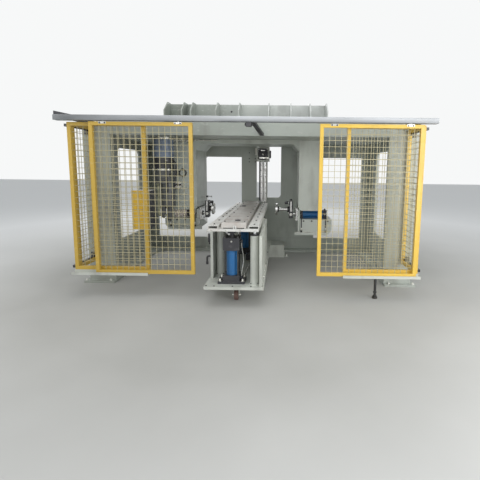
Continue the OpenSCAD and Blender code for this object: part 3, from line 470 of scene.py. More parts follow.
def paint_lift():
    """Black ends and tie rods round the blue barrels, and dark lift rods between bright guide rods."""
    foot, head = low("lift_cylinders").z + 90 * MM, high("lift_cylinders").z - 140 * MM
    barrel = 64 * MM

    def choose(place, normal):
        if not foot + MM < place.z < head - MM:
            return "black"
        out = min((place.xy - station.xy).length for station in LIFT_FEET)
        return "blue" if out < barrel else "dark_steel"

    assign("lift_cylinders", choose)
    assign("lift_rods", lambda place, normal: "black" if abs(place.x - LIFT_X) < barrel else "rod")
    ring_low = high("guide_sleeves").z - 15 * MM
    assign("guide_sleeves", lambda place, normal: "rubber" if place.z > ring_low + MM else "cart")


def paint_control_box():
    """Amber cover, black sides and a pale top that is a painted highlight on its upward faces."""
    cover_back = low("control_box").y + 10 * MM

    def choose(place, normal):
        if place.y < cover_back + MM:
            return "amber"
        # Painted highlight: upward faces are pale, as if lit from above.
        return "pale_plastic_and_painted_highlight" if normal.z > 0.5 else "plastic"

    assign("control_box", choose)


def paint_head_bed(node, enamel):
    """Enamelled bed whose bearing flange is bare, and whose ledge's upward faces carry a painted highlight in
    a pale colour.
    """
    def choose(place, normal):
        if abs(place.x - AXIS_X) < CHEEK_OUT - 29 * MM and place.z > BED_TOP - 40 * MM:
            return "steel"
        # Painted highlight: the ledge's upward faces are pale, as if lit from above.
        return "pale_plastic_and_painted_highlight" if normal.z > 0.5 and place.y < BED_FRONT else enamel

    assign(node, choose)


def paint_nodes():
    for material, nodes in NODES_OF.items():
        for node in nodes:
            assign(node, lambda place, normal: material)
    for node in ("left_door", "right_door", "left_fixed_panel", "right_fixed_panel"):
        paint_fence_panel(node, 0)
    for node in ("left_side_fence", "right_side_fence"):
        paint_fence_panel(node, 1)
    paint_lift()
    for node in ("left_spindle", "right_spindle"):
        paint_spindle(node)
    paint_hydraulic_unit()
    paint_feed_cylinders()
    paint_left_pipework()
    paint_rear_slide()
    paint_control_box()
    paint_head_bed("left_head_bed", "portal")
    # The right head bed takes the lighter portal enamel, which is painted light.
    paint_head_bed("right_head_bed", "portal_painted_lit")
    plate_back = low("rear_head").y + 25 * MM
    assign("rear_head", lambda place, normal: "black" if place.y < plate_back - MM else "cart")
    tray_low = high("fence_sills").z - 50 * MM
    assign("fence_sills", lambda place, normal: "dark_steel" if place.z < tray_low else "cart")


# Meshes made here
def add_piece(name, mesh, material, body="machine", smooth=True):
    """Finishes a bmesh as an object that rides on a body."""
    data = bpy.data.meshes.new(name)
    mesh.to_mesh(data)
    mesh.free()
    thing = bpy.data.objects.new(name, data)
    bpy.context.scene.collection.objects.link(thing)
    data.materials.append(MATERIALS[material])
    if smooth:
        for face in data.polygons:
            face.use_smooth = True
        data.set_sharp_from_angle(angle=math.radians(35))
    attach(thing, body)


def join_rings(mesh, rings):
    """Skin over a row of like rings, closed at both ends."""
    for below, above in zip(rings, rings[1:]):
        for i in range(len(below)):
            j = (i + 1) % len(below)
            mesh.faces.new((below[i], below[j], above[j], above[i]))
    mesh.faces.new(reversed(rings[0]))
    mesh.faces.new(rings[-1])


def add_lathe(mesh, place, axis, profile, sides=24, spin=0.0):
    """A turned or many-sided form: profile is a list of (radius, height along the axis)."""
    turned = UP.rotation_difference(axis).to_matrix().to_4x4()
    matrix = Matrix.Translation(place) @ turned @ Matrix.Rotation(spin, 4, "Z")
    join_rings(mesh, [[mesh.verts.new(matrix @ mm(radius * math.cos(turn), radius * math.sin(turn), height))
                       for turn in turns(sides)] for radius, height in profile])


def add_rounded(mesh, place, axis, radius, length, rim=2, sides=24):
    """Round bar whose two ends have broken edges."""
    add_lathe(mesh, place, axis, [(radius - rim, 0), (radius, rim), (radius, length - rim),
                                  (radius - rim, length)], sides)


def add_bolt(mesh, place, axis, across):
    """Washer and chamfered hex head. across is the size over the flats."""
    radius = across / math.sqrt(3)
    washer = across * 0.9
    add_lathe(mesh, place, axis, [(washer, 0), (washer, across * 0.1), (washer * 0.96, across * 0.13)], 20)
    add_lathe(mesh, place, axis, [(radius, across * 0.1), (radius, across * 0.62),
                                  (radius * 0.86, across * 0.72)], 6, chance.uniform(0, math.pi))


def add_nut(mesh, place, axis, across):
    """Hex nut on a washer with the screw's rounded end standing out of it."""
    add_bolt(mesh, place, axis, across)
    add_lathe(mesh, place, axis, [(across * 0.3, across * 0.7), (across * 0.3, across * 0.95),
                                  (across * 0.22, across * 1.05)], 16)


def add_socket_screw(mesh, place, axis, head):
    """Round head with a rounded rim and a hexagon socket. head is its radius."""
    add_lathe(mesh, place, axis, [(head, 0), (head, head * 0.85), (head * 0.9, head), (head * 0.5, head),
                                  (head * 0.48, head * 0.5)], 20)
    add_lathe(mesh, place + axis * head * 0.5 * MM, axis, [(head * 0.3, 0), (head * 0.3, head * 0.06)], 6)


def add_hole(mesh, place, axis, radius):
    """Drilled hole seen as a dark plug with a countersunk rim."""
    add_lathe(mesh, place, axis, [(radius * 1.25, 0), (radius * 1.2, 1), (radius, 1),
                                  (radius * 0.95, 0.4)], 20)


def bolts(name, places, axis, size, body="machine", material="zinc", maker=add_bolt):
    mesh = bmesh.new()
    for place in places:
        maker(mesh, place, axis, size)
    add_piece(name, mesh, material, body)


def screws(name, places, axis, head, body="machine", material="dark_steel"):
    bolts(name, places, axis, head, body, material, add_socket_screw)


def add_box(mesh, first, second, bevel=2):
    """Block between two opposite corners with its edges broken."""
    start = Vector([min(pair) for pair in zip(first, second)])
    size = Vector([max(pair) for pair in zip(first, second)]) - start
    made = bmesh.ops.create_cube(mesh, size=1)["verts"]
    for vert in made:
        vert.co = Vector([start[i] + (vert.co[i] + 0.5) * size[i] for i in range(3)])
    edges = list({edge for vert in made for edge in vert.link_edges})
    bmesh.ops.bevel(mesh, geom=edges, offset=bevel * MM, segments=2, affect="EDGES", profile=0.5)


def add_block(mesh, place, first, second, bevel=2):
    """Block whose opposite corners are steps in millimetres from a place."""
    add_box(mesh, place + mm(*first), place + mm(*second), bevel)


def add_sheet_strip(mesh, path, y_low, y_high, thickness):
    """Bent sheet: a path of (x, z) places drawn out along Y."""
    rows = []
    for i, (x, z) in enumerate(path):
        before, after = path[max(i - 1, 0)], path[min(i + 1, len(path) - 1)]
        along = Vector((after[0] - before[0], 0, after[1] - before[1])).normalized()
        across = along.cross(BACK) * thickness * MM
        front, back = Vector((x, y_low, z)), Vector((x, y_high, z))
        rows.append([mesh.verts.new(place) for place in (front, back, back + across, front + across)])
    join_rings(mesh, rows)
    bmesh.ops.recalc_face_normals(mesh, faces=mesh.faces)


def smooth_path(points, steps=8):
    """Points on a smooth curve through the given ones."""
    extended = [2 * points[0] - points[1], *points, 2 * points[-1] - points[-2]]
    path = []
    for before, start, end, after in zip(extended, extended[1:], extended[2:], extended[3:]):
        for i in range(steps):
            t = i / steps
            path.append(0.5 * (2 * start + (end - before) * t
                               + (2 * before - 5 * start + 4 * end - after) * t * t
                               + (3 * start - before - 3 * end + after) * t ** 3))
    path.append(points[-1])
    return path


def steps_from(place, *steps):
    """Places at steps in millimetres from one place."""
    return [place + mm(*step) for step in steps]


def add_tube(mesh, path, radius, sides=10, ripple=0.0):
    """Round tube along a path. ripple varies its radius, as a weld bead's does."""
    direction = (path[1] - path[0]).normalized()
    side = direction.orthogonal().normalized()
    rings = []
    for i, point in enumerate(path):
        ahead = (path[min(i + 1, len(path) - 1)] - path[max(i - 1, 0)]).normalized()
        side = (direction.rotation_difference(ahead) @ side).normalized()
        direction = ahead
        other = direction.cross(side)
        width = radius * MM * (1 + ripple * chance.uniform(-1, 1))
        rings.append([mesh.verts.new(point + width * (side * math.cos(turn) + other * math.sin(turn)))
                      for turn in turns(sides)])
    join_rings(mesh, rings)


def add_weld(mesh, start, end, radius=4, pitch=12):
    """Rippled bead laid into a corner between two places."""
    start, end = Vector(start), Vector(end)
    count = max(2, int((end - start).length / (pitch * MM)))
    add_tube(mesh, [start.lerp(end, i / count) for i in range(count + 1)], radius, 6, 0.18)


# Table and lift
def add_table_screws():
    """Screws along the side tubes and the centre plate, and two plugs in the plate."""
    inset = 100 * MM
    rows = (("table_frame", "table_tube_screws", 52 * MM, 9, 9),
            ("table_centre_plate", "table_plate_screws", 25 * MM, 7, 8))
    for node, name, edge, count, head in rows:
        start, end = low(node), high(node)
        ys = spread(start.y + inset, end.y - inset, count)
        screws(name, grid((start.x + edge, end.x - edge), ys, (end.z,)), UP, head, "table")
    plugs = bmesh.new()
    for x, behind in ((-0.075, -0.60), (-0.162, 0.81)):
        place = (x, FRONT_Y + behind, high("table_centre_plate").z)
        add_lathe(plugs, place, UP, [(30, 0), (30, 8), (26, 11), (12, 11), (10, 7)], 28)
    add_piece("table_plugs", plugs, "plastic", "table")


def add_table_front():
    """Screws on the stop, and screws through the front of the lower plate."""
    start, end = low("table_frame"), high("table_frame")
    stop = Vector((AXIS_X + 15 * MM, start.y, end.z))
    screws("stop_screws", steps_from(stop, (0, 0, -10), (0, 0, -25)), FRONT, 5, "table")
    places = grid(spread(start.x + 40 * MM, end.x - 40 * MM, 4), (start.y,), (start.z + 12 * MM,))
    screws("lower_plate_bolts", places, FRONT, 6, "table", "zinc")


def add_lift_fasteners():
    """Nuts on the foot flanges and on the heads' tie rods."""
    flange_x, flange_y, flange_top, tie = 125, 75, 30, 71
    places = [foot + mm(x, y, flange_top) for foot in LIFT_FEET
              for x in (-flange_x, flange_x) for y in (-flange_y, flange_y)]
    bolts("lift_flange_bolts", places, UP, 27, maker=add_nut)
    places = [head + mm(x, y, 0) for head in LIFT_HEADS for x in (-tie, tie) for y in (-tie, tie)]
    bolts("lift_tie_nuts", places, UP, 22, material="dark_steel", maker=add_nut)


def add_lift_head_fittings():
    """Gland ring, port elbows and a bright plug on each lift cylinder's head."""
    half = 90
    glands, ports, plugs = bmesh.new(), bmesh.new(), bmesh.new()
    for foot, head in zip(LIFT_FEET, LIFT_HEADS):
        add_lathe(glands, head, UP, [(42, 0), (42, 10), (38, 14), (25.5, 14)], 32)
        for port in (head + mm(half, PIPE_FORWARD, -45), foot + mm(half, PIPE_FORWARD, 60)):
            add_lathe(ports, port, RIGHT, [(17, 0), (17, 14), (13, 16), (13, 30)], 6)
            add_rounded(ports, port + mm(18, 0, -16), UP, 13, 34)
        add_lathe(plugs, head + mm(5, -half, -35), FRONT, [(12, 0), (12, 8), (9, 12)], 6)
    add_piece("lift_gland_rings", glands, "dark_steel")
    add_piece("lift_port_elbows", ports, "plastic")
    add_piece("lift_head_plugs", plugs, "zinc")


def add_lift_pipes():
    """Bright pipe from the head's elbow down to the foot's elbow, bowed out beside the barrel."""
    mesh = bmesh.new()
    for foot, head in zip(LIFT_FEET, LIFT_HEADS):
        top = head + mm(PIPE_SIDE, PIPE_FORWARD, -61)
        bottom = foot + mm(PIPE_SIDE, PIPE_FORWARD, 78)
        bow = (top + bottom) / 2 + mm(22, 10, 0)
        path = [top, top + mm(4, 0, -50), bow, bottom + mm(4, 0, 50), bottom]
        add_tube(mesh, smooth_path(path, 6), 6, 12)
    add_piece("lift_pipes", mesh, "zinc")


def add_clevis_brackets():
    """Pale blocks on both sides of each clevis, screwed under the table, with the pin through them."""
    under = low("table_frame").z
    cheeks, pins = bmesh.new(), bmesh.new()
    for place in grid((LIFT_X,), LIFT_YS, (under,)):
        for side in SIDES:
            add_block(cheeks, place, (side * 46, -45, -34), (side * 84, 45, 0), 3)
            for y in (-30, 30):
                add_socket_screw(pins, place + mm(side * 65, y, -34), -UP, 7)
        add_rounded(pins, place + mm(-92, 0, -20), RIGHT, 9, 184)
    add_piece("clevis_cheeks", cheeks, "cart", "table", False)
    add_piece("clevis_pins", pins, "steel", "table")


def add_guide_feet():
    """Ring at each guide sleeve's foot with four screws."""
    start, end = low("guide_sleeves"), high("guide_sleeves")
    reach, ring_top = 49.5 * MM, 12
    rings = bmesh.new()
    places = []
    for x, y in ((end.x - reach, start.y + reach), (start.x + reach, end.y - reach - LIFT_PITCH)):
        for foot in grid((x,), (y, y + LIFT_PITCH), (start.z,)):
            add_lathe(rings, foot, UP, [(64, 0), (64, 9), (61, ring_top), (47, ring_top)], 40)
            places += [foot + mm(55 * math.cos(turn), 55 * math.sin(turn), ring_top)
                       for turn in spread(math.pi / 4, 7 * math.pi / 4, 4)]
    add_piece("guide_feet", rings, "cart")
    screws("guide_foot_screws", places, UP, 7)


def add_flow_divider():
    """Black valve between the two lift cylinders, with a pipe to each."""
    place = Vector((AXIS_X + 70 * MM, LIFT_FRONT_Y + 0.95, LIFT_FEET[0].z))
    block, pipes = bmesh.new(), bmesh.new()
    add_block(block, place, (-50, -45, 0), (50, 45, 90), 4)
    add_rounded(block, place + mm(0, -85, 50), BACK, 36, 40, 5, 32)
    add_piece("flow_divider", block, "plastic")
    for foot, way in zip(LIFT_FEET, SIDES):
        start = place + mm(25, way * 45, 25)
        end = foot + mm(PIPE_SIDE, PIPE_FORWARD, 44)
        path = steps_from(start, (0, 0, 0), (0, way * 50, 0), (0, way * 100, -18))
        path += steps_from(end, (0, -way * 90, -37), (0, -way * 25, -25), (0, 0, 0))
        add_tube(pipes, smooth_path(path, 6), 6, 12)
    add_piece("lift_supply_pipes", pipes, "zinc")


def add_carriage_fasteners():
    """Screws round the carriage plate, and the lid, floor bracket and bolt of the box behind it."""
    start, end = low("cart_base"), high("cart_base")
    edge = 22 * MM
    right = 2 * AXIS_X - start.x
    places = grid((start.x + edge, right - edge), spread(start.y + 35 * MM, PORTAL_Y, 6), (end.z,))
    places += grid(spread(start.x + 110 * MM, right - 140 * MM, 3), (start.y + 25 * MM,), (end.z,))
    screws("carriage_screws", places, UP, 8)
    box_floor = Vector((end.x, PORTAL_Y + 0.6, 0))
    box_top = Vector((end.x, box_floor.y, end.z - 30 * MM))
    mesh = bmesh.new()
    add_block(mesh, box_top, (-165, 10, 0), (-5, 330, 6))
    add_block(mesh, box_floor, (0, 40, 0), (70, 120, 12))
    add_block(mesh, box_floor, (0, 72, 0), (12, 88, 110))
    add_piece("carriage_box_lid", mesh, "cart", "machine", False)
    bolts("carriage_box_bolt", [box_floor + mm(46, 80, 12)], UP, 24)


def add_panel_fittings():
    """Limit switches on the carriage's left side panel, and the bolts of both panels."""
    start, end = low("cart_panels"), high("cart_panels")
    left_front = FRONT_Y - 0.5
    switch = Vector((start.x, left_front + 62 * MM, 0))
    bodies, lever = bmesh.new(), bmesh.new()
    add_block(bodies, switch, (-36, -20, 650), (0, 20, 750), 4)
    add_rounded(bodies, switch + mm(-18, 0, 625), UP, 11, 28)
    add_block(lever, switch, (-42, -26, 700), (-34, -18, 792))
    add_rounded(lever, switch + mm(-44, -34, 788), BACK, 9, 12)
    add_lathe(bodies, switch + mm(0, 0, 478), -RIGHT, [(16, 0), (16, 14), (12, 16)], 6)
    elbow = steps_from(switch, (-10, 0, 478), (-40, 0, 480), (-52, 0, 465), (-54, 0, 400))
    add_tube(bodies, smooth_path(elbow), 11, 14)
    add_rounded(bodies, switch + mm(-54, 0, 385), UP, 14, 30)
    add_piece("carriage_switches", bodies, "plastic")
    add_piece("switch_lever", lever, "zinc")
    inset, bolt_z = 60 * MM, start.z + 25 * MM
    places = grid((start.x,), spread(left_front + inset, end.y - inset, 5), (bolt_z,))
    bolts("left_panel_bolts", places, -RIGHT, 17)
    places = grid((end.x,), spread(start.y + inset, end.y - inset, 6), (bolt_z,))
    bolts("right_panel_bolts", places, RIGHT, 17)


def add_castor_details():
    """Axle nuts on the fork and a bright cap on each side of the hub."""
    middle = (low("castor_wheel") + high("castor_wheel")) / 2
    nuts, caps = bmesh.new(), bmesh.new()
    for side in SIDES:
        add_bolt(nuts, middle + mm(side * 34, 0, 0), RIGHT * side, 19)
        add_lathe(caps, middle + mm(side * 25, 0, 0), RIGHT * side, [(26, 0), (26, 1), (12, 2)], 32)
    add_piece("castor_axle_nuts", nuts, "zinc")
    add_piece("castor_hub_caps", caps, "zinc", "castor_wheel")


# Side heads
def head_place(side, out, z, y=HEAD_Y):
    """Place at a distance from the working axis, on the left for side -1 and on the right for 1."""
    return Vector((AXIS_X + side * out, y, z))


def side_name(side):
    return "left" if side < 0 else "right"


def add_spindle_details(side):
    """Hub, lock ring and screws of a spindle with its crosshead's cover."""
    body = side_name(side) + "_spindle"
    tip = low(body).x if side > 0 else high(body).x
    nose_back = abs(tip - AXIS_X) + 30 * MM
    outwards = RIGHT * side
    rings, heads = bmesh.new(), bmesh.new()
    add_lathe(rings, head_place(side, nose_back, SPINDLE_Z), outwards,
              [(48, 0), (48, 14), (38, 22), (28, 22)], 40)
    add_lathe(rings, head_place(side, CROSSHEAD_IN - 26 * MM, SPINDLE_Z), outwards,
              [(40, 0), (44, 3), (44, 19), (40, 26)], 16)
    add_piece(body + "_rings", rings, "dark_steel", body)
    for turn in turns(6):
        step = mm(0, 66 * math.cos(turn), 66 * math.sin(turn))
        add_socket_screw(heads, head_place(side, nose_back - 30 * MM, SPINDLE_Z) + step, -outwards, 9)
    for y in (-42, 42):
        for z in (-62, 62):
            add_socket_screw(heads, head_place(side, CROSSHEAD_IN, SPINDLE_Z) + mm(0, y, z), -outwards, 9)
    add_piece(body + "_screws", heads, "zinc", body)
    add_crosshead_cover(side, body)


def add_crosshead_cover(side, body):
    """Plate on the crosshead's front with three screws and a bright bolt under it."""
    foot = head_place(side, CROSSHEAD_MIDDLE, BED_TOP, HEAD_Y - 60 * MM)
    plate, heads = bmesh.new(), bmesh.new()
    add_block(plate, foot, (-13, -8, 90), (13, 0, 245))
    for z in (105, 167, 230):
        add_socket_screw(heads, foot + mm(0, -8, z), FRONT, 6)
    add_bolt(heads, foot + mm(0, 0, 45), FRONT, 24)
    add_piece(body + "_cover", plate, "steel", body, False)
    add_piece(body + "_cover_screws", heads, "zinc", body)


def add_clamp_levers(side):
    """Knobs on the crosshead's top and inner face, the left one's with a cross handle on a stud."""
    body = side_name(side) + "_spindle"
    top = high("left_spindle").z
    studs, knobs = bmesh.new(), bmesh.new()
    foot = head_place(side, CROSSHEAD_MIDDLE, top, HEAD_Y - 20 * MM)
    height = 54 if side < 0 else 14
    add_lathe(studs, foot, UP, [(22, 0), (22, 8), (11, 10), (11, height)])
    add_lathe(knobs, foot + mm(0, 0, height - 6), UP, [(16, 0), (20, 4), (20, 20), (14, 27)])
    if side < 0:
        arm = foot + mm(0, 0, height + 6)
        reach, knob = 60, [(7, -4), (12, 2), (13, 9), (6, 14)]
        add_rounded(studs, arm - mm(reach, 0, 0), RIGHT, 8, 2 * reach)
        for way in SIDES:
            add_lathe(studs, arm + mm(way * reach, 0, 0), RIGHT * way, knob, 20)
    clamp = head_place(side, CROSSHEAD_IN, top) + mm(0, -35, -24)
    inwards = RIGHT * -side
    add_rounded(studs, clamp, inwards, 9, 30)
    add_lathe(knobs, clamp + inwards * 14 * MM, inwards, [(15, 0), (23, 4), (23, 46), (18, 54)], 12)
    add_piece(body + "_clamp_studs", studs, "steel", body)
    add_piece(body + "_clamp_knobs", knobs, "plastic", body)


def add_flange_screws(side):
    """Screws on the bearing flange's face and the rod's wiper ring."""
    name = side_name(side) + "_head"
    reach = 80
    face = head_place(side, FLANGE_IN, FEED_Z)
    places = [face + mm(0, y, z) for y in (-reach, reach) for z in (-reach, reach)]
    screws(name + "_flange_screws", places, RIGHT * -side, 11, material="zinc")
    ring = bmesh.new()
    add_lathe(ring, face - mm(side * 8, 0, 0), RIGHT * side, [(34, 0), (38, 3), (38, 8)], 32)
    add_piece(name + "_wiper_ring", ring, "rubber")


def add_feed_fittings(side):
    """Tie nuts, port plugs and the end boss of a feed cylinder."""
    name = side_name(side) + "_feed"
    end = head_place(side, CYLINDER_OUT, FEED_Z)
    tie = 53
    nuts, ports = bmesh.new(), bmesh.new()
    for y in (-tie, tie):
        for z in (-tie, tie):
            add_nut(nuts, end + mm(0, y, z), RIGHT * side, 17)
    for out in PORTS_OUT:
        port = head_place(side, out, FEED_Z + 65 * MM)
        add_lathe(ports, port, UP, [(15, 0), (15, 12), (11, 15), (11, 22)], 6)
    add_rounded(ports, end, RIGHT * side, 22, 8)
    add_piece(name + "_tie_nuts", nuts, "zinc")
    add_piece(name + "_ports", ports, "dark_steel")


def add_left_drive():
    """Pale ribbed motor over the left feed cylinder, between black end blocks."""
    left = head_place(-1, 1168 * MM, FEED_TOP)
    right = head_place(-1, 969 * MM, FEED_TOP)
    motor, ends = bmesh.new(), bmesh.new()
    add_box(motor, left + mm(0, -76, -72), right + mm(0, 76, 58), 22)
    for place in grid(spread(left.x + 32 * MM, right.x - 32 * MM, 6), (HEAD_Y,), (FEED_TOP,)):
        add_block(motor, place, (-4, -81, -58), (4, 81, 61), 3)
    add_rounded(motor, left + mm(60, -76, -20), FRONT, 24, 22, 5)
    add_piece("feed_motor", motor, "motor")
    add_box(ends, (right.x, HEAD_Y - 60 * MM, BED_TOP), right + mm(34, 60, 50), 4)
    add_block(ends, left, (-26, -50, -40), (0, 50, 34), 4)
    add_piece("feed_motor_ends", ends, "plastic")
    add_drive_cover(left, right)


def add_drive_cover(left, right):
    """Bent cover plate with a lip that rises over the motor, its post and two screws."""
    shape = steps_from(left, (-62, 0, 56), (-22, 0, 62), (24, 0, 90), (70, 0, 86))
    shape += steps_from(right, (-10, 0, 63), (60, 0, 68), (104, 0, 84))
    curve = [(place.x, place.z) for place in smooth_path(shape, 5)]
    front, back = HEAD_Y - 92 * MM, HEAD_Y + 70 * MM
    lip, sheet = 30, 8
    cover, post = bmesh.new(), bmesh.new()
    add_sheet_strip(cover, curve, front, back, sheet)
    add_sheet_strip(cover, [(x, z - lip * MM) for x, z in curve], front - 5 * MM, front, lip + sheet)
    add_piece("motor_cover", cover, "cover", "machine", False)
    foot = Vector((right.x, HEAD_Y, BED_TOP))
    add_box(post, foot + mm(50, -88, 0), right + mm(84, -76, 68))
    add_block(post, foot, (50, -88, 0), (84, -66, 8))
    add_piece("motor_cover_post", post, "cover", "machine", False)
    screws("motor_cover_screws", steps_from(left, (44, -72, 93), (44, 50, 93)), UP, 8)


def add_bed_fasteners(side):
    """Bolts along a bed's front and on its ledge."""
    name = side_name(side)
    row = spread(CHEEK_OUT + 60 * MM, 1.22, 4)
    places = [head_place(side, out, BED_TOP - 40 * MM, BED_FRONT) for out in row]
    screws(name + "_bed_bolts", places, FRONT, 12)
    ledge_top = low(name + "_head_bed").z + 40 * MM
    places = [head_place(side, out, ledge_top, BED_FRONT - 25 * MM) for out in (0.93, 1.05)]
    bolts(name + "_ledge_bolts", places, UP, 17)


def add_hose_ferrules(side):
    """Crimped sleeves and hex ends of the two hoses of a head."""
    name = side_name(side)
    ledge_top = low(name + "_head_bed").z + 40 * MM
    mesh = bmesh.new()
    for out in PORTS_OUT:
        add_lathe(mesh, head_place(side, out, ledge_top + 28 * MM, PORTAL_Y + 75 * MM), UP,
                  [(9, 0), (10, 4), (10, 36), (8, 40)], 20)
        add_lathe(mesh, head_place(side, out, FEED_Z, HEAD_Y - 65 * MM), FRONT,
                  [(14, 0), (14, 10), (10, 12), (10, 30)], 6)
    add_piece(name + "_hose_ferrules", mesh, "zinc")


# Left pier and hydraulic unit
def add_pier_fittings():
    """Hook over the hose loop with its knob, and the valve's lever and nut."""
    black, pale = bmesh.new(), bmesh.new()
    hook = Vector((-1.160, PORTAL_Y, 1.455))
    add_block(black, hook, (-22, -14, -45), (12, 0, 45), 3)
    arm = steps_from(hook, (0, -8, 30), (10, -45, 36), (20, -60, 5), (12, -45, -25))
    add_tube(black, smooth_path(arm), 8, 12)
    add_lathe(pale, hook + mm(-12, -14, -10), FRONT, [(14, 0), (18, 4), (18, 18), (12, 24)], 20)
    valve = Vector((-1.144, PORTAL_Y - 60 * MM, 1.245))
    add_rounded(black, valve + mm(20, 0, 10), FRONT, 16, 22)
    add_block(black, valve, (14, -34, 2), (58, -22, 18), 3)
    add_rounded(black, valve + mm(54, -28, 10), RIGHT, 12, 26, 4)
    add_lathe(pale, valve + mm(50, 30, 0), RIGHT, [(16, 0), (16, 14), (12, 16), (12, 30)], 6)
    add_piece("pier_hook_and_lever", black, "plastic")
    add_piece("pier_knob_and_nut", pale, "pale_plastic_and_painted_highlight")


def add_lintel_pipe():
    """Pipe along the lintel's front edge, with its clips."""
    pipe, clips = bmesh.new(), bmesh.new()
    start = Vector((low("portal_lintel").x - 40 * MM, PORTAL_Y - 12 * MM, DECK_LOW - 14 * MM))
    end = Vector((AXIS_X - 490 * MM, start.y, start.z))
    path = [start, (start + end) / 2, end, end + mm(25, 6, 0), end + mm(34, 12, 0)]
    add_tube(pipe, smooth_path(path, 5), 8, 12)
    for place in grid(spread(start.x + 30 * MM, end.x - 30 * MM, 3), (PORTAL_Y,), (start.z,)):
        add_block(clips, place, (-10, -22, -12), (10, 0, 12))
    add_piece("lintel_pipe", pipe, "zinc")
    add_piece("lintel_pipe_clips", clips, "zinc", "machine", False)


def add_unit_details():
    """Bolt ring, ports, pipes, suction pipe and filter bowl of the hydraulic unit."""
    corner = low("hydraulic_unit")
    cap = Vector((corner.x, corner.y, high("hydraulic_unit").z)) + mm(155, 155, 0)
    places = [cap + mm(151 * math.cos(turn), 151 * math.sin(turn), -435) for turn in turns(12)]
    screws("unit_ring_bolts", places, UP, 10)
    ports, pipes, suction, bowl = bmesh.new(), bmesh.new(), bmesh.new(), bmesh.new()
    for drop, turn in ((330, -1.0), (330, -0.3), (520, -0.6), (590, -1.3)):
        axis = Vector((math.cos(turn), math.sin(turn), 0))
        face = cap + mm(0, 0, -drop) + axis * 138 * MM
        add_lathe(ports, face, axis, [(22, 0), (22, 16), (16, 20), (16, 34)], 6)
    add_piece("unit_ports", ports, "dark_steel")
    runs = ((-0.3, (138, -40, -700), ((30, -8, -30), (28, -12, -150)), ((34, -6, 130), (30, 0, 30))),
            (-1.0, (80, -98, -760), ((10, -22, -40), (0, -10, -180)), ((10, -30, 120), (4, -22, 20))))
    for turn, foot, leaving, arriving in runs:
        start = cap + mm(168 * math.cos(turn), 168 * math.sin(turn), -330)
        end = cap + mm(*foot)
        path = [start, *steps_from(start, *leaving), *steps_from(end, *arriving), end]
        add_tube(pipes, smooth_path(path, 7), 10, 14)
    add_piece("unit_pipes", pipes, "black")
    drum_low = cap + mm(-74, -30, -637)
    path = [drum_low - mm(0, 0, drop) for drop in spread(0, 430, 4)]
    path += steps_from(drum_low, (20, 2, -462), (119, 25, -470))
    add_tube(suction, smooth_path(path, 6), 20, 16)
    add_lathe(suction, drum_low + mm(0, 0, -22), UP, [(30, 0), (32, 3), (32, 20), (28, 22)], 6)
    add_piece("unit_suction_pipe", suction, "olive")
    add_lathe(bowl, cap + mm(-20, -8, -967), -UP, [(40, 0), (42, 4), (42, 36), (36, 40), (36, 150), (33, 160),
                                                   (14, 168), (14, 180)], 28)
    add_piece("unit_filter_bowl", bowl, "unit_grey")


# Rear wall and rear head
def add_rear_wall_holes():
    """Bolt holes in the wall beside the rear window."""
    places = grid((-0.183, -0.075), (low("rear_centre_wall").y,), (1.775, 1.675, 1.615))
    bolts("rear_wall_holes", places, FRONT, 8, material="plastic", maker=add_hole)


def add_rear_head_details():
    """Tool strips, knobs, side blocks and screws on the rear head."""
    body = "rear_head"
    start, end = low(body), high(body)
    middle_x = (start.x + end.x) / 2
    foot, top = Vector((middle_x, start.y, start.z)), Vector((middle_x, start.y, end.z))
    foot_right, top_right = Vector((end.x, start.y, start.z)), Vector((end.x, start.y, end.z))
    top_left = Vector((start.x, start.y, end.z))
    strip, black, pale = bmesh.new(), bmesh.new(), bmesh.new()
    add_box(strip, start + mm(52, -18, 50), foot_right + mm(-12, 0, 76))
    add_block(strip, top, (-34, -12, -70), (34, 0, -52))
    add_piece("rear_head_strips", strip, "zinc", body, False)
    for x in (-60, 55):
        add_lathe(black, top + mm(x, 0, -100), FRONT, [(16, 0), (24, 5), (24, 24), (18, 30)], 12)
    add_rounded(black, foot + mm(0, 0, 118), FRONT, 30, 34, 4, 32)
    add_box(black, foot_right + mm(-8, 40, 60), top_right + mm(26, 120, -60), 4)
    add_piece("rear_head_knobs", black, "plastic", body)
    add_box(pale, start + mm(-22, 20, 110), top_left + mm(6, 110, -20), 4)
    add_lathe(pale, foot + mm(4, -34, 118), FRONT, [(14, 0), (14, 10), (10, 13)], 24)
    add_piece("rear_head_side_block", pale, "pale_plastic_and_painted_highlight", body)
    places = grid((start.x + 42 * MM, end.x - 42 * MM), (start.y,), (start.z + 40 * MM, end.z - 40 * MM))
    screws("rear_head_screws", places, FRONT, 7, body, "zinc")


def add_rear_slide_screws():
    """Screws up the rear slide's plate, and the bolts of the slide and the wall on the back."""
    start, end = low("rear_slide"), high("rear_slide")
    inset = 38 * MM
    places = grid((start.x + inset, end.x - inset), (end.y - 60 * MM,), spread(start.z + 50 * MM, 1.56, 7))
    screws("rear_slide_screws", places, FRONT, 6)
    places = grid((start.x - 70 * MM, 0.45), (high("rear_centre_wall").y,), spread(1.05, 1.82, 5))
    bolts("rear_wall_nuts", places, BACK, 13)


# Fence and rail
def add_hanger_plates(side):
    """Bolted clip on the door's top tube under each hanger."""
    node = side_name(side) + "_door"
    middle = Vector(((low(node).x + high(node).x) / 2, DOOR_FRONT, PANEL_TOP))
    plates, nuts = bmesh.new(), bmesh.new()
    for place in steps_from(middle, (-415, 0, 0), (415, 0, 0)):
        add_block(plates, place, (-42, -3, -22), (42, 0, 3), 1)
        add_block(plates, place, (-42, -3, 0), (42, 43, 4), 1)
        for x in (-28, 28):
            add_bolt(nuts, place + mm(x, -3, -12), FRONT, 10)
    add_piece(node + "_hanger_clips", plates, "zinc", node, False)
    add_piece(node + "_hanger_bolts", nuts, "dark_steel", node)


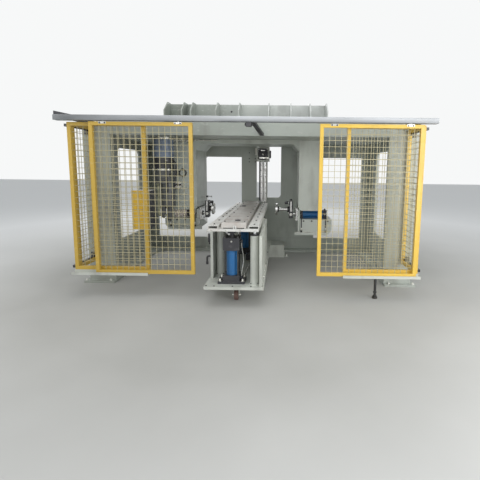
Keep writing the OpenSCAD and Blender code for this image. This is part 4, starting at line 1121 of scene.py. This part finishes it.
def add_door_welds():
    """Beads over the mitred corners of the doors' frames."""
    tube = 40 * MM
    for side in SIDES:
        node = side_name(side) + "_door"
        start, end = low(node), high(node)
        seam = bmesh.new()
        for x, inward in ((start.x, tube), (end.x, -tube)):
            for z, upward in ((start.z, tube), (PANEL_TOP, -tube)):
                add_weld(seam, (x, DOOR_FRONT, z), (x + inward, DOOR_FRONT, z + upward), 1.6, 7)
        add_piece(node + "_mitre_welds", seam, "yellow", node)


def add_fence_corner_fittings(side):
    """Black angles that hold the fence's ties to the column, with their bolts."""
    start, end = low("fence_brackets"), high("fence_brackets")
    tie = 30
    angles, nuts = bmesh.new(), bmesh.new()
    for z in (start.z, end.z - tie * MM):
        place = Vector((side * (end.x - tie * MM), FRONT_Y, z))
        add_block(angles, place, (side * -34, -8, -44), (side * 70, 0, tie + 44))
        add_block(angles, place, (side * -8, -90, -24), (0, 0, tie + 24))
        for offset in (-26, tie + 26):
            add_bolt(nuts, place + mm(side * 44, -8, offset), FRONT, 17)
        add_block(angles, Vector((place.x, PANEL_BACK, z)), (side * -6, 0, -4), (0, 70, tie + 4))
    add_piece(side_name(side) + "_fence_angles", angles, "black", "machine", False)
    add_piece(side_name(side) + "_fence_angle_bolts", nuts, "dark_steel")


def add_fence_fittings():
    """Bolts between the fixed panels and their trays, and the nuts of the leg."""
    bolt_z = low("left_fixed_panel").z - 18 * MM
    places = [Vector((side * x, PANEL_BACK, bolt_z)) for side in SIDES for x in spread(1.2, 1.93, 4)]
    bolts("tray_bolts", places, BACK, 13)
    leg = Vector((1.52, (PANEL_FRONT + PANEL_BACK) / 2, 0))
    nuts = bmesh.new()
    add_lathe(nuts, leg + mm(0, 0, 20), UP, [(24, 0), (24, 14), (20, 17)], 6)
    add_lathe(nuts, leg + mm(0, 0, 70), UP, [(22, 0), (22, 12), (18, 15)], 6)
    add_piece("leg_nuts", nuts, "dark_steel")


def add_control_box_details():
    """Cable glands, hinges and screws of the control box."""
    start, end = low("control_box"), high("control_box")
    black = bmesh.new()
    for x in (end.x - 30 * MM, start.x + 50 * MM):
        add_rounded(black, (x, (start.y + end.y) / 2, start.z - 21 * MM), UP, 14, 28, 3)
    for z in (start.z + 60 * MM, end.z - 60 * MM):
        add_block(black, Vector((start.x, PANEL_BACK, z)), (-6, 2, -25), (2, 30, 25))
    add_piece("control_box_glands", black, "plastic")
    places = grid((start.x + 20 * MM, end.x - 60 * MM), (start.y,), (start.z + 25 * MM, end.z - 25 * MM))
    screws("control_box_screws", places, FRONT, 5, material="zinc")


def add_rail_details():
    """Bolts on the rail's arms, and a buffer on each side of the stop."""
    start, end = low("door_rail"), high("door_rail")
    places = [Vector((side * (1.90 + offset * MM), FRONT_Y - 20 * MM, end.z - 14 * MM))
              for side in SIDES for offset in (15, 45)]
    bolts("rail_arm_bolts", places, UP, 13)
    stop = Vector((0, (start.y + end.y) / 2, start.z - 25 * MM))
    buffers = bmesh.new()
    add_rounded(buffers, stop + mm(6, 0, 0), -RIGHT, 15, 14, 4)
    add_rounded(buffers, stop + mm(66, 0, 0), RIGHT, 15, 14, 4)
    add_piece("rail_stop_buffers", buffers, "rubber")


# Frame
def add_foot_bolts():
    """Anchor nuts on the columns' feet and on the floor flange."""
    plate, lip, rib = 30, 28, 60
    places = []
    for node in ("left_front_column", "right_front_column"):
        start, end = low(node), high(node)
        inwards = 1 if node.startswith("left") else -1
        outer, inner = (start.x, end.x) if inwards > 0 else (end.x, start.x)
        places += [Vector((outer, start.y, 0)) + mm(inwards * lip, lip, plate),
                   Vector((inner, start.y, 0)) + mm(-inwards * rib, lip, plate),
                   Vector((outer, end.y, 0)) + mm(inwards * lip, -rib, plate)]
    bolts("foot_anchor_bolts", places, UP, 24, maker=add_nut)
    start, end = low("base_flange"), high("base_flange")
    inset = 190 * MM
    places = grid((start.x + inset, end.x - inset), spread(start.y + 0.25, end.y - 0.35, 4), (end.z,))
    places += grid(spread(start.x + 0.5, end.x - 0.5, 6), (end.y - 140 * MM,), (end.z,))
    bolts("flange_anchor_bolts", places, UP, 24, maker=add_nut)


def add_crossbeam_details():
    """Bolts along the crossbeam's plate, and small holes through its box."""
    start, end = low("crossbeam"), high("crossbeam")
    edge = 30 * MM
    places = [Vector((start.x + offset * MM, y, start.z + 30 * MM))
              for first, second in zip(RIBS, RIBS[1:])
              for offset in (first + 60, second - 45)
              for y in (start.y + edge, end.y - edge)]
    bolts("crossbeam_bolts", places, UP, 24, material="dark_steel")
    middle_y = (start.y + end.y) / 2
    holes = bmesh.new()
    for place in grid((-0.376, -0.262), (middle_y,), (end.z - 105 * MM,)):
        add_hole(holes, place + mm(0, -60, 0), FRONT, 12)
        add_hole(holes, place + mm(0, 60, 0), BACK, 12)
    add_piece("crossbeam_holes", holes, "plastic")


def add_crossbeam_welds():
    """Beads at the feet and sides of the ribs, and along the box."""
    start, end = low("crossbeam"), high("crossbeam")
    plate_top, rib_top = start.z + 30 * MM, end.z - 10 * MM
    middle_y = (start.y + end.y) / 2
    mesh = bmesh.new()
    for face, outer in ((middle_y - 60 * MM, start.y), (middle_y + 60 * MM, end.y)):
        for rib in RIBS:
            for x in (start.x + rib * MM, start.x + (rib + RIB_T) * MM):
                add_weld(mesh, (x, face, plate_top), (x, face, rib_top), pitch=20)
                add_weld(mesh, (x, face, plate_top), (x, outer, plate_top), pitch=20)
        add_weld(mesh, (start.x, face, plate_top), (end.x, face, plate_top), pitch=20)
    for y in (start.y, end.y):
        add_weld(mesh, (start.x, y, start.z), (end.x, y, start.z), pitch=20)
    add_piece("crossbeam_welds", mesh, "weld")


def add_frame_welds():
    """Beads between columns, beam, deck, side plates, feet and rear wall."""
    mesh = bmesh.new()
    beam_low, beam_high = low("front_beam"), high("front_beam")
    plate_x = high("right_side_plate").x
    inner_x = plate_x - 25 * MM
    foot_outer = high("right_front_column").x * 0.974
    flange_x, foot_back, foot_top, foot_box, flange_top = 2.1, -0.19, 0.03, 0.2, 0.04
    sill_top, window_low, window_high = 0.23, 0.26, 1.70
    column_back = beam_high.y
    rear_front, rear_back = low("rear_centre_wall").y, high("rear_centre_wall").y
    for side in SIDES:
        inner, plate = side * inner_x, side * plate_x
        foot, flange = side * beam_high.x, side * flange_x
        for y in (beam_low.y, beam_high.y):
            add_weld(mesh, (foot, y, beam_low.z), (foot, y, beam_high.z))
        for x in (plate, inner):
            add_weld(mesh, (x, column_back, foot_box), (x, column_back, DECK_LOW))
            add_weld(mesh, (x, column_back, DECK_LOW), (x, rear_front, DECK_LOW))
            add_weld(mesh, (x, foot_back, flange_top), (x, rear_front, flange_top))
        add_weld(mesh, (inner, rear_front, flange_top), (inner, rear_front, DECK_LOW))
        add_weld(mesh, (foot, FRONT_Y, foot_top), (side * foot_outer, FRONT_Y, foot_top))
        add_weld(mesh, (foot, column_back, foot_box), (flange, column_back, foot_box))
        add_weld(mesh, (foot, FRONT_Y, foot_top), (foot, foot_back, foot_top))
        add_weld(mesh, (flange, FRONT_Y, foot_top), (flange, foot_back, foot_top))
    add_weld(mesh, (-inner_x, rear_front, sill_top), (inner_x, rear_front, sill_top), 3)
    add_weld(mesh, (-inner_x, rear_front, DECK_LOW), (inner_x, rear_front, DECK_LOW))
    add_weld(mesh, (-plate_x, rear_back, DECK_LOW), (plate_x, rear_back, DECK_LOW), 3)
    for x in (low("rear_centre_wall").x, high("rear_centre_wall").x):
        for y in (rear_front, rear_back):
            add_weld(mesh, (x, y, window_high), (x, y, DECK_LOW), 3)
            add_weld(mesh, (x, y, sill_top), (x, y, window_low), 3)
    add_weld(mesh, (-beam_high.x, column_back, DECK_LOW), (beam_high.x, column_back, DECK_LOW))
    add_piece("frame_welds", mesh, "weld")


def add_portal_welds():
    """Beads round the piers' tops, the lintel's chamfers and the head beds."""
    mesh = bmesh.new()
    back = high("left_pier").y
    for node in ("left_pier", "right_pier"):
        start, end = low(node), high(node)
        for y in (PORTAL_Y, back):
            add_weld(mesh, (start.x, y, DECK_LOW), (end.x, y, DECK_LOW))
        for x in (start.x, end.x):
            add_weld(mesh, (x, PORTAL_Y, DECK_LOW), (x, back, DECK_LOW))
    chamfer = 95 * MM
    lintel_low = low("portal_lintel").z
    for x, inwards in ((low("portal_lintel").x, chamfer), (high("portal_lintel").x, -chamfer)):
        for y in (PORTAL_Y, back):
            add_weld(mesh, (x, y, lintel_low - chamfer), (x + inwards, y, lintel_low), 3)
        add_weld(mesh, (x, PORTAL_Y, lintel_low - chamfer), (x, back, lintel_low - chamfer), 3)
    for side in SIDES:
        bed_low = low(side_name(side) + "_head_bed").z
        x = AXIS_X + side * CHEEK_OUT
        for y in (BED_FRONT, BED_FRONT + 0.4):
            add_weld(mesh, (x, y, bed_low), (x, y, BED_TOP), 3)
    add_piece("portal_welds", mesh, "weld")


def add_details():
    add_table_screws()
    add_table_front()
    add_lift_fasteners()
    add_lift_head_fittings()
    add_lift_pipes()
    add_clevis_brackets()
    add_guide_feet()
    add_flow_divider()
    add_carriage_fasteners()
    add_panel_fittings()
    add_castor_details()
    for side in SIDES:
        add_spindle_details(side)
        add_clamp_levers(side)
        add_flange_screws(side)
        add_feed_fittings(side)
        add_bed_fasteners(side)
        add_hose_ferrules(side)
        add_hanger_plates(side)
        add_fence_corner_fittings(side)
    add_left_drive()
    add_pier_fittings()
    add_lintel_pipe()
    add_unit_details()
    add_rear_wall_holes()
    add_rear_head_details()
    add_rear_slide_screws()
    add_door_welds()
    add_fence_fittings()
    add_control_box_details()
    add_rail_details()
    add_foot_bolts()
    add_crossbeam_details()
    add_crossbeam_welds()
    add_frame_welds()
    add_portal_welds()


# Floor, light and world
def add_world():
    """Soft grey light, and a pale background for the camera and for what gloss and glass show."""
    world = bpy.data.worlds.new("studio")
    world.use_nodes = True
    bpy.context.scene.world = world
    tree = world.node_tree
    background = tree.nodes["Background"]
    background.inputs["Color"].default_value = (0.90, 0.93, 0.95, 1)
    background.inputs["Strength"].default_value = 0.5
    seen = tree.nodes.new("ShaderNodeBackground")
    seen.inputs["Color"].default_value = (*PALE, 1)
    rays = tree.nodes.new("ShaderNodeLightPath").outputs
    shows_seen = rays["Is Camera Ray"]
    for name in ("Is Glossy Ray", "Is Transmission Ray"):
        either = tree.nodes.new("ShaderNodeMath")
        either.operation = "MAXIMUM"
        tree.links.new(shows_seen, either.inputs[0])
        tree.links.new(rays[name], either.inputs[1])
        shows_seen = either.outputs["Value"]
    choice = tree.nodes.new("ShaderNodeMixShader")
    tree.links.new(shows_seen, choice.inputs["Fac"])
    tree.links.new(background.outputs["Background"], choice.inputs[1])
    tree.links.new(seen.outputs["Background"], choice.inputs[2])
    tree.links.new(choice.outputs["Shader"], tree.nodes["World Output"].inputs["Surface"])


def add_floor():
    """Pale floor that fades into the background."""
    paler_from, palest_from = 2.6, 7.0
    nodes = Nodes("pale_floor")
    shade = nodes.mix(nodes.ramp(nodes.noise(0.6, 6), 0.35, 0.7), (0.42, 0.42, 0.40), (0.49, 0.49, 0.47))
    distance = nodes.add("ShaderNodeVectorMath", operation="LENGTH")
    nodes.join(nodes.place, distance.inputs[0])
    nodes.colour(nodes.mix(nodes.ramp(distance.outputs["Value"], paler_from, palest_from), shade, PALE))
    nodes.shader.inputs["Roughness"].default_value = 0.85
    mesh = bmesh.new()
    bmesh.ops.create_grid(mesh, x_segments=8, y_segments=8, size=30)
    data = bpy.data.meshes.new("floor")
    mesh.to_mesh(data)
    mesh.free()
    data.materials.append(nodes.material)
    floor = bpy.data.objects.new("floor", data)
    bpy.context.scene.collection.objects.link(floor)


def add_lamp(name, place, aim, size, power):
    data = bpy.data.lights.new(name, "AREA")
    data.size = size
    data.energy = power
    lamp = bpy.data.objects.new(name, data)
    lamp.location = place
    lamp.rotation_euler = (Vector(aim) - Vector(place)).to_track_quat("-Z", "Y").to_euler()
    bpy.context.scene.collection.objects.link(lamp)


def add_lights():
    add_lamp("ceiling", (0, -1.5, 6.5), (0, 0, 0), 6, 130)
    add_lamp("left_window", (-6, -3.5, 4.0), (0, 0, 1), 4, 80)
    add_lamp("front_right", (4.0, -4.2, 2.0), (1.0, 0.4, 1.2), 3, 135)
    add_lamp("front_fill", (-1, -7.5, 3.2), (0, 0, 1), 4, 90)
    add_lamp("rear_window", (-1, 6, 4.5), (0, 0.5, 1), 4, 110)


add_camera()
paint_nodes()
add_details()
add_world()
add_floor()
add_lights()
bpy.context.scene.view_settings.view_transform = "Standard"
